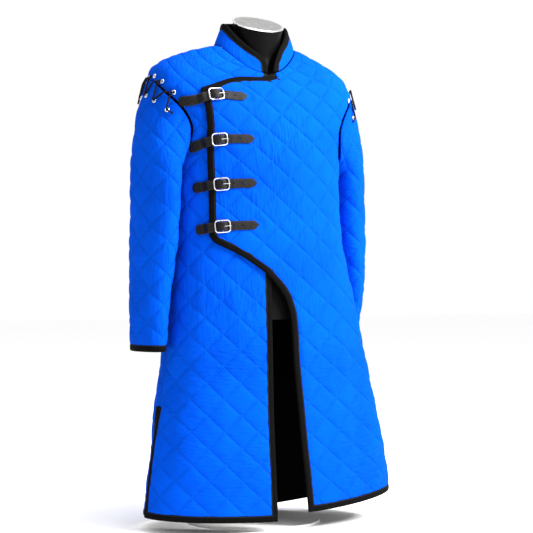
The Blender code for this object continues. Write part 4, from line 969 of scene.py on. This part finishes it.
def tape(name, node, place, edge, inner, breaks=(), ring=False, seed=1):
    """Folded tape over a cloth edge, with rounded folds and the slight ripples of its sewing."""
    edge = np.array(edge, dtype=float)
    inner = np.array(inner, dtype=float)
    gaps = length(np.diff(place(*edge.T), axis=0))
    both = refine(np.concatenate((edge, inner), axis=1), gaps, 0.0045, breaks)
    run = place(both[:, 0], both[:, 1])
    along = running_length(run)
    if ring:
        both = both[:-1]
        along = along[:-1]
    share = np.array([s for s, _ in TAPE_SECTION])
    lift = np.array([d for _, d in TAPE_SECTION])
    p = blend(both[:, :1], both[:, 2:3], share)
    q = blend(both[:, 1:2], both[:, 3:4], share)
    ripple = 0.00035 * noise(along[:, None] / 0.011, share[None] * 2.0, seed)
    ripple = ripple + 0.0004 * noise(along[:, None] / 0.045, share[None] * 0.7, seed + 1)
    points = place(p, q, lift + ripple * (lift > 0.0005))
    rows, cols = p.shape
    quads = grid_faces(cols, rows, ring)
    flat = points.transpose(1, 0, 2).reshape(-1, 3)
    last = np.arange(rows if ring else rows - 1)
    nxt = (last + 1) % rows
    close = np.stack(((cols - 1) * rows + last, (cols - 1) * rows + nxt, nxt, last), -1)
    faces = [tuple(f) for f in np.concatenate((quads, close))]
    if not ring:
        faces.append(tuple(np.arange(cols) * rows))
        faces.append(tuple((np.arange(cols) * rows + rows - 1)[::-1]))
    uv = np.stack(np.broadcast_arrays(along[:, None], share[None] * BINDING_WIDTH), -1)
    obj = make_mesh(name, flat, faces, ("black_binding",),
                    maps={"cloth": uv.transpose(1, 0, 2).reshape(-1, 2)})
    face_out(obj)
    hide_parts(node)
    return obj


# ---------------------------------------------------------------- laces

def body_eyelet(side, degrees, lift):
    h, t = armhole(side, degrees)
    edge = body_point(h, t)
    middle = body_point(0.5 * (ARMPIT + SHOULDER_TIP) + 0.075, t * 0.86)
    normal = body_normal(h, t)
    run = middle - edge
    run = unit(run - (run @ normal) * normal)
    matrix = np.stack(((body_point(h + 0.001, t) - edge) / 0.001,
                       (body_point(h, t + 0.2) - edge) / 0.2), -1)
    step = np.linalg.lstsq(matrix, run * BODY_EYELET_INSET, rcond=None)[0]
    spot = (h + step[0], t + step[1])
    return on_body(*spot, lift), body_normal(*spot)


def sleeve_eyelet(side, degrees, lift):
    return (on_sleeve(side, SLEEVE_EYELET_STEP, degrees, lift),
            sleeve_normal(side, SLEEVE_EYELET_STEP, degrees))


def lace_route(side):
    """The lace lies over the eyelets and over the sleeve's edge, which stands out between them."""
    ends = (EYELET_ANGLES[0] - 9.0, EYELET_ANGLES[-1] + 9.0)
    knots = [sleeve_eyelet(side, ends[0], LACE_LIFT)[0]]
    for i, degrees in enumerate(EYELET_ANGLES):
        if i > 0:
            crossing = blend(EYELET_ANGLES[i - 1], degrees, 0.4)
            knots.append(on_sleeve(side, 0.0, crossing, LACE_LIFT))
        knots.append(sleeve_eyelet(side, degrees, LACE_LIFT)[0])
        knots.append(on_sleeve(side, 0.0, degrees, LACE_LIFT))
        knots.append(body_eyelet(side, degrees, LACE_LIFT + 0.0016)[0])
    knots.append(on_sleeve(side, 0.0, ends[1], LACE_LIFT))
    knots.append(sleeve_eyelet(side, ends[1], LACE_LIFT)[0])
    points = []
    for i in range(len(knots) - 1):
        before, here = knots[max(i - 1, 0)], knots[i]
        there, after = knots[i + 1], knots[min(i + 2, len(knots) - 1)]
        leave = (there - before) * 0.18
        arrive = (after - here) * 0.18
        steps = max(1, round(float(length(there - here)) / 0.004))
        points += [curve(k / steps, here, there, leave, arrive) for k in range(steps)]
    points.append(knots[-1])
    return np.array(points)


def tube(name, path, radius, material, sides=12):
    """A round cord along a path, as a closed mesh with its plait's map."""
    run = unit(np.gradient(path, axis=0))
    side = np.cross(run[0], (0.0, 0.0, 1.0))
    frames = []
    for direction in run:
        side = side - (side @ direction) * direction
        side = side / np.linalg.norm(side)
        frames.append((side, np.cross(direction, side)))
    a = np.linspace(0.0, math.tau, sides, endpoint=False)
    rings = [p + radius * (np.cos(a)[:, None] * x + np.sin(a)[:, None] * y)
             for p, (x, y) in zip(path, frames)]
    along = running_length(path)
    wrap = np.abs(np.arange(sides) / sides * 2.0 - 1.0)
    uv = np.stack(np.broadcast_arrays(wrap[None], along[:, None]), -1).reshape(-1, 2)
    obj = make_mesh(name, np.concatenate(rings), capped(len(path), sides), (material,),
                    maps={"cloth": uv})
    face_out(obj)
    return obj, float(along[-1])


for side in ("right", "left"):
    path = lace_route(side)
    lace, size = tube("shoulder_lace_" + side, path, LACE_RADIUS, "black_lace")
    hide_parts("lace_" + side)


# ---------------------------------------------------------------- straps

class StrapLine:
    """Where a strap runs: distance along it from the buckle's centre, over the body cloth."""

    def __init__(self, row):
        sewn, buckle, point = row
        xs = (sewn[1], buckle[1], point[1])
        x = np.linspace(xs[0], xs[2], 201)
        self.h = Profile(xs, (sewn[0], buckle[0], point[0]))(x)
        self.t = angle_at(self.h, x)
        self.points = body_point(self.h, self.t)
        d = running_length(self.points)
        self.d = d - np.interp(buckle[1], x, d)
        over = Profile([r[0] for r in OVER_EDGE], [r[1] for r in OVER_EDGE])
        self.edge = float(self.d[np.argmax(x > over(self.h))])
        self.start = float(self.d[0])
        self.end = float(self.d[-1])

    def spot(self, d):
        return np.interp(d, self.d, self.h), np.interp(d, self.d, self.t)

    def place(self, d, across, lift):
        d = np.asarray(d, dtype=float)
        h, t = self.spot(d)
        normal = body_normal(h, t)
        along = body_point(*self.spot(d + 0.004)) - body_point(*self.spot(d - 0.004))
        along = unit(along - (along * normal).sum(-1)[..., None] * normal)
        width = np.cross(normal, along)
        return lifted(lifted(body_point(h, t), width, across), normal, lift)


LINES = [StrapLine(row) for row in STRAP_ROWS]
# Section of a strap: part of its half width across, and part of its thickness up.
STRAP_SECTION = ((-1.0, 0.22), (-1.0, 0.75), (-0.93, 1.0), (-0.80, 1.04), (-0.40, 1.10),
                 (0.0, 1.12), (0.40, 1.10), (0.80, 1.04), (0.93, 1.0), (1.0, 0.75), (1.0, 0.22),
                 (0.90, 0.0), (0.0, 0.0), (-0.90, 0.0))


def hole_cutter(line, span, width, depth_at, sides):
    """A prism through the strap, from span[0] to span[1] along it: four sides, or round."""
    middle = 0.5 * (span[0] + span[1])
    half = 0.5 * (span[1] - span[0])
    if sides > 4:
        a = np.linspace(0.0, math.tau, sides, endpoint=False)
        plan = [(middle + half * math.cos(x), width * math.sin(x)) for x in a]
    else:
        plan = [(span[1], width), (span[0], width), (span[0], -width), (span[1], -width)]
    low, high = depth_at
    points = [line.place(d, w, low) for d, w in plan] + [line.place(d, w, high) for d, w in plan]
    n = len(plan)
    work = bmesh.new()
    made = [work.verts.new(p) for p in points]
    work.faces.new(made[:n])
    work.faces.new(made[n:][::-1])
    for i in range(n):
        k = (i + 1) % n
        work.faces.new((made[k], made[i], made[n + i], made[n + k]))
    bmesh.ops.recalc_face_normals(work, faces=work.faces)
    mesh = bpy.data.meshes.new("cutter")
    work.to_mesh(mesh)
    work.free()
    obj = bpy.data.objects.new("cutter", mesh)
    bpy.context.scene.collection.objects.link(obj)
    return obj


def build_strap(number, line):
    """A strap from its sewn end, up through the buckle and down to its point, with its holes."""
    under = 0.0014
    over = OVERLAP_STEP + 0.0018
    bar = BUCKLE_LIFT
    # Distance from the buckle's centre, and the underside's height above the body cloth.
    route = (
        (line.start, under), (line.start + 0.004, under),
        (blend(line.start + 0.008, line.edge - 0.014, 0.34), under),
        (blend(line.start + 0.008, line.edge - 0.014, 0.67), under + 0.0004),
        (line.edge - 0.014, under), (line.edge - 0.007, 0.0058),
        (line.edge - 0.0015, over), (line.edge + 0.004, over + 0.0002), (-0.0165, over + 0.0003),
        (-0.0125, over + 0.0013), (-0.0070, bar + 0.0013), (-0.0030, bar + 0.0026),
        (0.0010, bar + 0.0026), (0.0050, bar + 0.0012), (0.0095, bar - 0.0017),
        (0.0135, over + 0.0008), (0.0240, over + 0.0008), (0.0310, over), (0.0380, over - 0.0004),
        (0.0500, over - 0.0004), (line.end - 0.0140, over - 0.0004),
        (line.end - 0.0060, over - 0.0005), (line.end, over - 0.0006),
    )
    route = np.array(route)
    steps = np.linspace(line.start, line.end, math.ceil((line.end - line.start) / 0.0014))
    fine = np.stack((steps, Profile(route[:, 0], route[:, 1])(steps)), -1)
    # Half width: the sewn end is rounded, the point tapers.
    half = Profile(
        (line.start, line.start + 0.0012, line.start + 0.0035, line.start + 0.008, -0.030, -0.018,
         line.end - 0.0125, line.end - 0.0008, line.end),
        (0.0035, 0.0070, 0.0100, 0.0112, 0.0107, 0.0100, 0.0098, 0.0016, 0.0006))
    share = np.array([s for s, _ in STRAP_SECTION])
    tall = np.array([s for _, s in STRAP_SECTION]) * STRAP_THICKNESS
    d = fine[:, :1]
    width = half(d) * (1.0 + 0.02 * noise(d / 0.013, 0.0 * d, 40 + number))
    wave = 0.00022 * noise(d / 0.012, share[None] * 1.2, 50 + number)
    points = line.place(np.broadcast_to(d, (len(fine), len(share))), width * share,
                        fine[:, 1:] + tall + wave)
    rows, cols = points.shape[:2]
    uv = np.stack(np.broadcast_arrays(d, width * share), -1).reshape(-1, 2)
    strap = make_mesh(f"leather_strap_{number}", points.reshape(-1, 3), capped(rows, cols),
                      ("black_leather",), maps={"cloth": uv})
    face_out(strap)
    r = STRAP_HOLE_RADIUS
    cutters = [hole_cutter(line, (x - r, x + r), r, (0.004, 0.018), 14) for x in STRAP_HOLES]
    cutters.append(hole_cutter(line, TONGUE_SLOT, 0.0013, (0.011, 0.0205), 4))
    for cutter in cutters:
        cut = strap.modifiers.new("hole", "BOOLEAN")
        cut.operation = "DIFFERENCE"
        cut.object = cutter
    graph = bpy.context.evaluated_depsgraph_get()
    mesh = bpy.data.meshes.new_from_object(strap.evaluated_get(graph))
    strap.modifiers.clear()
    strap.data = mesh
    mesh.set_sharp_from_angle(angle=math.radians(50.0))
    for cutter in cutters:
        bpy.data.objects.remove(cutter)
    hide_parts(f"strap_{number}")


for number, line in enumerate(LINES, start=1):
    build_strap(number, line)
STRAP_SPOTS = [p for line in LINES for p in line.points[::4]]


# ---------------------------------------------------------------- eyelets

# Section of an eyelet: radius, and height above the cloth's plain surface.
EYELET_SECTION = ((0.0027, -0.0052), (0.0026, 0.0), (0.0028, 0.0016), (0.0036, 0.0026),
                  (0.0046, 0.0026), (0.0055, 0.0018), (0.0057, 0.0006), (0.0054, -0.0010),
                  (0.0034, -0.0012), (0.0031, -0.0052))
EYELET_SIDES = 28


def build_eyelets(side):
    """Rolled metal eyelets in the body's edge and the sleeve's, joined in one piece."""
    points, faces = [], []
    for degrees in EYELET_ANGLES:
        for spot in (body_eyelet, sleeve_eyelet):
            place, normal = spot(side, degrees, 0.0)
            x = unit(np.cross(normal, (0.3, 0.8, 0.5)))
            y = np.cross(normal, x)
            base = sum(len(p) for p in points)
            a = np.linspace(0.0, math.tau, EYELET_SIDES, endpoint=False)
            for radius, lift in EYELET_SECTION:
                round_it = np.cos(a)[:, None] * x + np.sin(a)[:, None] * y
                points.append(place + normal * lift + radius * round_it)
            wall = grid_faces(len(EYELET_SECTION), EYELET_SIDES, ring=True, offset=base)
            faces += [tuple(f) for f in wall]
            last = base + (len(EYELET_SECTION) - 1) * EYELET_SIDES
            j = np.arange(EYELET_SIDES)
            k = (j + 1) % EYELET_SIDES
            faces += [tuple(f) for f in np.stack((last + j, last + k, base + k, base + j), -1)]
    obj = make_mesh("shoulder_eyelets_" + side, np.concatenate(points), faces, ("nickel_steel",))
    face_out(obj)
    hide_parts(*[f"eyelet_{kind}_{side}_{n}" for kind in ("body", "sleeve")
                       for n in range(1, len(EYELET_ANGLES) + 1)])


EYELET_SPOTS = []
for side in ("right", "left"):
    build_eyelets(side)
    for degrees in EYELET_ANGLES:
        EYELET_SPOTS += [body_eyelet(side, degrees, 0.0)[0], sleeve_eyelet(side, degrees, 0.0)[0]]


# ---------------------------------------------------------------- the coat's panels

def front_edges(edge_rows, levels, columns, sign):
    """Paths round one front: its free edge, hem and side slit, outside and inside the tape."""
    table = Profile([row[0] for row in edge_rows], [row[1] for row in edge_rows])
    free = [(h, float(angle_at(h, table(h)))) for h in levels]
    free.append((NECK_SEAM - 0.0002, free[-1][1] + 0.3))
    corner = sign * 89.0
    hem = []
    for j in range(1, columns + 1):
        t = blend(free[0][1], corner, j / columns)
        hem.append((levels[0] * (1.0 - abs(math.sin(math.radians(t))) ** 3), t))
    slit = [(h, corner) for h in levels[1:] if h <= SLIT_TOP]
    outline = list(reversed(free)) + hem + slit
    inner = inset(body_point, outline, BINDING_WIDTH, sign)
    cloth = inset(body_point, outline, BINDING_WIDTH - TAPE_COVERS, sign)
    return outline, inner, cloth, len(free)


def spread(start, end, columns):
    """Evenly spaced surface coordinates from one edge of a panel to the other."""
    return [(blend(start[0], end[0], j / columns), blend(start[1], end[1], j / columns))
            for j in range(columns + 1)]


def seam_ends(side, sign):
    """Up one side of the armhole and along the shoulder seam, for the front or the back."""
    step = -SEAM_HALF if side == "front" else SEAM_HALF
    ends = []
    for i in range(ARMHOLE_STEPS + 1):
        around = 180.0 * i / ARMHOLE_STEPS
        h, t = armhole("left", around if side == "front" else 360.0 - around)
        t = min(float(t), 90.0 + step) if side == "front" else max(float(t), 90.0 + step)
        ends.append((float(h), sign * t))
    for i in range(1, SHOULDER_STEPS + 1):
        h = blend(SHOULDER_TIP, NECK_SEAM - 0.0006, i / SHOULDER_STEPS)
        ends.append((h, sign * (90.0 + step)))
    return ends


def fine_grid(rows, place, step, breaks=()):
    """Refine a coarse grid of surface coordinates both ways."""
    rows = np.array(rows, dtype=float)
    spots = place(rows[..., 0], rows[..., 1])
    up = length(np.diff(spots, axis=0)).max(1)
    across = length(np.diff(spots, axis=1)).max(0)
    fine = refine(rows, up, step, breaks)
    return refine(fine.transpose(1, 0, 2), across, step).transpose(1, 0, 2)


def quilted(name, panel, grid, place, seed, lie, pull, flat_uv=None, ring=False,
            lining="black_lining"):
    """One quilted piece: displaced outer face, plain inner face and closed edges."""
    p, q = grid[..., 0], grid[..., 1]
    plain = place(p, q)
    normal = unit(place(p, q, 0.001) - plain)
    u, v = flat_uv if flat_uv is not None else cloth_uv(p, (q + 180.0) % 360.0 - 180.0)
    quilt = lattice(panel, u, v)
    raised = relief(panel, u, v, quilt, lie, pull, seed)
    keep = ease(border_distance(plain, ring) / 0.010)
    keep = keep * (0.22 + 0.78 * clear_of(plain, EYELET_SPOTS, *EYELET_CLEAR))
    if panel in ("front_left", "front_right"):
        keep = keep * clear_of(plain, STRAP_SPOTS, *STRAP_CLEAR)
    if panel == "front_right":
        raised = np.minimum(raised, 0.0030)
    outer = plain + normal * (raised * keep)[..., None]
    inner = place(p, q, -QUILT * np.ones_like(p))
    return cloth_wall(name, outer, inner, normal, np.stack((u, v), -1), quilt, lie, pull, ring,
                      lining)


def regions(u, v):
    """How far puckers lie level (skirt) instead of upright (chest), and how strong they are."""
    lie = ease((0.50 - v) / 0.16)
    pull = 0.55 + 0.45 * noise(u / 0.10, v / 0.12, 90)
    pull = np.clip(pull, 0.15, 1.0)
    return lie, pull


def build_fronts():
    """Both fronts and their tapes."""
    plans = (
        ("coat_front_left", "front_left", "binding_over", OVER_EDGE, OVER_LEVELS,
         PANEL_COLUMNS["left"], on_over, 1.0, 0.918),
        ("coat_front_right", "front_right", "binding_under", UNDER_EDGE, UNDER_LEVELS,
         PANEL_COLUMNS["right"], on_body, -1.0, None),
    )
    pieces = {}
    for name, node, tape_node, edge_rows, levels, columns, place, sign, corner in plans:
        outline, inner, cloth, count = front_edges(edge_rows, levels, columns, sign)
        free = cloth[:count][::-1]
        hem = cloth[count - 1:count + columns]
        seam = sign * (90.0 - SEAM_HALF)
        ends = [tuple(x) for x in cloth[count + columns:]]
        ends += [(h, seam) for h in levels if SLIT_TOP < h < ARMPIT - 0.02]
        ends += seam_ends("front", sign)
        rows = [[tuple(x) for x in hem]]
        for start, end in zip(free[1:], ends, strict=True):
            rows.append(spread(start, end, columns))
        turn = [i for i, h in enumerate(levels) if corner and abs(h - corner) < 1e-6]
        slit_top = sum(h <= SLIT_TOP for h in levels[1:])
        sharp = [1, slit_top, slit_top + 1, len(levels) - 1] + turn
        grid = fine_grid(rows, place, CLOTH_STEP, sharp)
        u, v = cloth_uv(grid[..., 0], grid[..., 1])
        lie, pull = regions(u, v)
        if node == "front_left":
            pull = pull * blend(1.0, 0.45, ease((u - 0.05) / 0.12) * ease((v - 0.55) / 0.1))
            pull = pull * blend(1.0, 0.55, ease((v - 0.86) / 0.04))
        panel = quilted(name, node, grid, place, 3 if sign > 0 else 23, lie, pull)
        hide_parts(node)
        breaks = [1, count - 1, count + columns - 1]
        breaks += [count - 1 - i for i in turn]
        bound = tape(name + "_tape", tape_node, place, outline[1:], inner[1:],
                     [b - 1 for b in breaks[1:]], seed=60 + count)
        pieces[node] = (panel, bound)
    return pieces


def build_back():
    """The back, its tape and the skirt's lining."""
    columns = PANEL_COLUMNS["back"]
    first, last = 91.5, 268.5
    slit = [h for h in BACK_LEVELS if h <= SLIT_TOP]
    edge = [(h, first) for h in reversed(slit[1:])]
    edge += [(0.0, blend(first, last, j / columns)) for j in range(columns + 1)]
    edge += [(h, last) for h in slit[1:]]
    inner = inset(back_place, edge, BINDING_WIDTH, 1.0)
    cloth = inset(back_place, edge, BINDING_WIDTH - TAPE_COVERS, 1.0)
    corner = len(slit) - 1
    bound = tape("coat_back_tape", "binding_back", back_place, edge, inner,
                 [corner, corner + columns], seed=71)
    pairs = [(tuple(cloth[corner - i]), tuple(cloth[corner + columns + i]))
             for i in range(1, len(slit))]
    seam = 90.0 + SEAM_HALF
    left = [(h, seam) for h in BACK_LEVELS if h > SLIT_TOP] + seam_ends("back", 1.0)
    pairs += [((h, t), (h, 360.0 - t)) for h, t in left]
    rows = [[tuple(cloth[corner + j]) for j in range(columns + 1)]]
    for start, end in pairs:
        rows.append(spread(start, end, columns))
    sharp = [1, len(slit) - 1, len(slit)]
    grid = fine_grid(rows, back_place, BACK_STEP, sharp)
    t = (grid[..., 1] + 180.0) % 360.0 - 180.0
    u, v = cloth_uv(grid[..., 0], t)
    half = float(MAP_U[100, -1])
    u = np.where(u < 0.0, u + 2.0 * half, u) - half
    lie, pull = regions(u, v)
    panel = quilted("coat_back", "back", grid, back_place, 43, lie, pull, (u, v))
    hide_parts("back")

    lined = fine_grid(rows[:len(BACK_LEVELS)], back_place, LINING_STEP, sharp)
    p, q = lined[..., 0], lined[..., 1]
    u, v = cloth_uv(p, (q + 180.0) % 360.0 - 180.0)
    plain = back_place(p, q, -QUILT - 0.0008)
    slack = ease(border_distance(plain) / 0.03)
    sag = 0.0014 * noise(u / 0.045, v / 0.16, 81) + 0.0008 * noise(u / 0.02, v / 0.06, 82)
    sag = slack * (0.0016 + sag)
    face = back_place(p, q, -QUILT - 0.0006 - 0.3 * sag)
    deep = back_place(p, q, -QUILT - 0.0016 - sag)
    normal = unit(back_place(p, q, 0.001) - back_place(p, q))
    lining = cloth_wall("skirt_lining", face, deep, normal, np.stack((u, v), -1), None, None, None,
                        front="black_lining")
    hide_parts("lining_back")
    return panel, bound, lining


COLLAR_ROUND = 0.00165     # metres of collar to each degree round the neck


def build_collar():
    """The collar, its tape and its lining."""
    swapped = [(v, t) for t, v in COLLAR_EDGE]
    place = lambda v, t, lift=0.0: on_collar(t, v, lift)
    floor_v = COLLAR_EDGE[0][1]
    inner = inset(place, swapped, BINDING_WIDTH, 1.0)
    cloth = inset(place, swapped, BINDING_WIDTH - TAPE_COVERS, 1.0)
    for line in (inner, cloth):
        line[:, 0] = np.maximum(line[:, 0], floor_v)
    bound = tape("collar_tape", "binding_collar", place, swapped, inner, seed=76)
    tops = [(v, t) for v, t in cloth if v > 0.006]
    rows = [[(blend(floor_v, v, i / 3.0), t) for v, t in tops] for i in range(4)]
    grid = fine_grid(rows, place, 0.0035)
    p, q = grid[..., 0], grid[..., 1]
    u = -q * COLLAR_ROUND
    v = p + 0.99
    lie = np.zeros_like(u) + 0.2
    pull = np.full_like(u, 0.55)
    plain = place(p, q)
    normal = unit(place(p, q, 0.001) - plain)
    quilt = np.full(u.shape + (2,), 0.5)
    keep = ease(border_distance(plain) / 0.009)
    rise = 0.0009 * noise(u / 0.03, v / 0.02, 31) + 0.0006 + 0.0003 * noise(u / 0.011, v / 0.03, 32)
    outer = plain + normal * (rise * keep)[..., None]
    inner_face = place(p, q, -QUILT)
    panel = cloth_wall("stand_collar", outer, inner_face, normal, np.stack((u, v), -1), quilt, lie,
                       pull)
    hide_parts("collar")
    face = place(p, q, -QUILT - 0.0006)
    deep = place(p, q, -QUILT - 0.0014 - 0.0006 * keep * (1.0 + noise(u / 0.03, v / 0.03, 33)))
    lining = cloth_wall("collar_lining", face, deep, normal, np.stack((u, v), -1), None, None, None,
                        front="black_lining")
    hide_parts("lining_collar")
    return panel, bound, lining


def build_sleeve(side):
    """One sleeve and its cuff's tape."""
    tape_w = BINDING_WIDTH / (SLEEVE_TUBE - CUFF)
    under_w = (BINDING_WIDTH - TAPE_COVERS) / (SLEEVE_TUBE - CUFF)
    w = np.concatenate((np.linspace(0.0, 1.0, 52)[:-1], np.linspace(1.0, 2.0 - under_w, 100)))
    a = np.linspace(0.0, 360.0, 100, endpoint=False)
    p, q = np.meshgrid(w, a, indexing="ij")
    spots = sleeve_point(side, p, q)
    u = np.zeros(spots.shape[:2])
    u[:, 1:] = np.cumsum(length(np.diff(spots, axis=1)), axis=1)
    u = u - u[:, 50:51]
    up = np.zeros(spots.shape[:2])
    up[:-1] = np.cumsum(length(np.diff(spots, axis=0))[::-1], axis=0)[::-1]
    v = up + BINDING_WIDTH - TAPE_COVERS
    middle = ease(1.0 - np.abs(u - 0.01) / 0.06)
    lie = ease((0.30 - v) / 0.10) * middle
    lie = np.maximum(lie, ease((np.abs(u) - 0.075) / 0.03))
    pull = np.clip(0.65 + 0.35 * noise(u / 0.08, v / 0.10, 95), 0.2, 1.0)
    place = lambda p, q, lift=0.0: on_sleeve(side, p, q, lift)
    grid = np.stack((p, q), -1)
    name = "sleeve_" + side
    panel = quilted("coat_sleeve_" + side, name, grid, place, 103 if side == "right" else 123, lie,
                    pull, (u, v), ring=True, lining="quilted_cotton")
    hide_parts(name)
    around = list(SLEEVE_AROUND) + [360.0]
    edge = [(2.0, x) for x in around]
    inner = [(2.0 - tape_w, x) for x in around]
    bound = tape("cuff_tape_" + side, "cuff_" + side, place, edge, inner, ring=True, seed=77)
    return panel, bound


FRONTS = build_fronts()
BACK = build_back()
COLLAR = build_collar()
SLEEVES = {side: build_sleeve(side) for side in ("right", "left")}


# ---------------------------------------------------------------- dress form

def neck_spot(degrees, radius, x, y, z, slope):
    a = np.radians(degrees)
    forward = -radius * np.cos(a)
    return stack(x + radius * np.sin(a), y + forward, z + slope * forward)


def build_form():
    """The dress form up to its cut neck, and the plate on it."""
    around = np.arange(0.0, 360.0, 5.0)
    rings = [on_body(h, around, -FORM_CLEARANCE) for h in FORM_LEVELS]
    slope = math.tan(CAP_TILT)
    for z, x, y, radius, tilt in NECK_ROWS:
        rings.append(neck_spot(around, radius, x, y, z + HEM_CLEARANCE, slope * tilt))
    base = CAP_CENTRE + Vector((0.0, 0.0, HEM_CLEARANCE))
    top = base.z - (0.5 * CAP_THICKNESS + SEAM_GAP) / math.cos(CAP_TILT)
    rings.append(neck_spot(around, NECK_RADIUS, base.x, base.y, top, slope))
    rings = np.array(rings)
    gaps = length(np.diff(rings, axis=0)).mean(1)
    fine = refine(rings, gaps, 0.010, [len(FORM_LEVELS) - 1])
    rows = len(fine)
    cols = len(around)
    form = make_mesh("dress_form", fine.reshape(-1, 3), capped(rows, cols), ("form_black",))
    form.data.set_sharp_from_angle(angle=math.radians(40.0))
    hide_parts("form_torso")

    section = ((0.0, -0.5), (0.94, -0.5), (0.975, -0.44), (1.0, -0.22), (1.0, 0.22), (0.985, 0.42),
               (0.965, 0.5), (0.945, 0.5), (0.930, 0.38), (0.915, 0.34), (0.6, 0.36), (0.3, 0.37),
               (0.0, 0.375))
    rim = (2, 8)       # steps of the section that are the bright rim
    sides = 96
    a = np.linspace(0.0, math.tau, sides, endpoint=False)
    points, faces, slots = [], [], []
    turn = np.array(Matrix.Rotation(CAP_TILT, 3, "X"))
    for radius, lift in section:
        flat = stack(radius * CAP_RADIUS * np.cos(a), radius * CAP_RADIUS * np.sin(a),
                     lift * CAP_THICKNESS)
        if radius == 0.0:
            flat = flat[:1]
        points.append(flat @ turn.T + np.array(base))
    start = 0
    for i in range(len(section) - 1):
        n, m = len(points[i]), len(points[i + 1])
        for j in range(sides):
            k = (j + 1) % sides
            low = (start + j % n, start + k % n)
            high = (start + n + j % m, start + n + k % m)
            if n == 1:
                faces.append((low[0], high[1], high[0]))
            elif m == 1:
                faces.append((low[0], low[1], high[0]))
            else:
                faces.append((low[0], low[1], high[1], high[0]))
            slots.append(int(rim[0] <= i <= rim[1]))
        start += n
    cap = make_mesh("neck_cap", np.concatenate(points), faces, ("brushed_steel", "bright_rim"),
                    slots)
    face_out(cap)
    cap.data.set_sharp_from_angle(angle=math.radians(35.0))
    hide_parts("form_cap")


build_form()
for name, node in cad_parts.items():
    if name.startswith(("buckle_", "tongue_")):
        material = MATERIALS["nickel_steel"]
    elif name.startswith("chape_"):
        material = MATERIALS["black_leather"]
    elif name.startswith("stand_"):
        material = MATERIALS["white_enamel"]
    else:
        continue
    for slot in node.material_slots:
        slot.material = material

# ---------------------------------------------------------------- floor and light

floor_mesh = bpy.data.meshes.new("floor")
work = bmesh.new()
bmesh.ops.create_grid(work, x_segments=2, y_segments=2, size=14.0)
work.to_mesh(floor_mesh)
work.free()
floor = bpy.data.objects.new("floor", floor_mesh)
bpy.context.scene.collection.objects.link(floor)
g = Graph("floor")
speck = g.noise(g.add("TexCoord").outputs["Object"], 300.0, 2.0)
floor_mesh.materials.append(g.finish((0.97, 0.97, 0.97, 1.0), g.ramp(speck, 0.0, 1.0, 0.75, 0.85),
                                     Specular_IOR_Level=0.1))


def area_light(name, place, target, size, energy):
    light = bpy.data.lights.new(name, "AREA")
    light.shape = "RECTANGLE"
    light.size, light.size_y = size
    light.energy = energy
    obj = bpy.data.objects.new(name, light)
    bpy.context.scene.collection.objects.link(obj)
    aim(obj, place, target)


# Name, place, what it points at, size and watts.
LIGHTS = (
    ("key", (1.45, -1.55, 2.05), (0.0, 0.0, 0.80), (1.0, 1.2), 190.0),
    ("top", (0.3, -0.6, 3.2), (0.0, 0.0, 0.60), (1.6, 1.6), 60.0),
)
for light in LIGHTS:
    area_light(*light)
world = bpy.data.worlds.new("studio")
bpy.context.scene.world = world
world.use_nodes = True
background = world.node_tree.nodes["Background"]
background.inputs[0].default_value = (1.0, 1.0, 1.0, 1.0)
background.inputs[1].default_value = 1.0
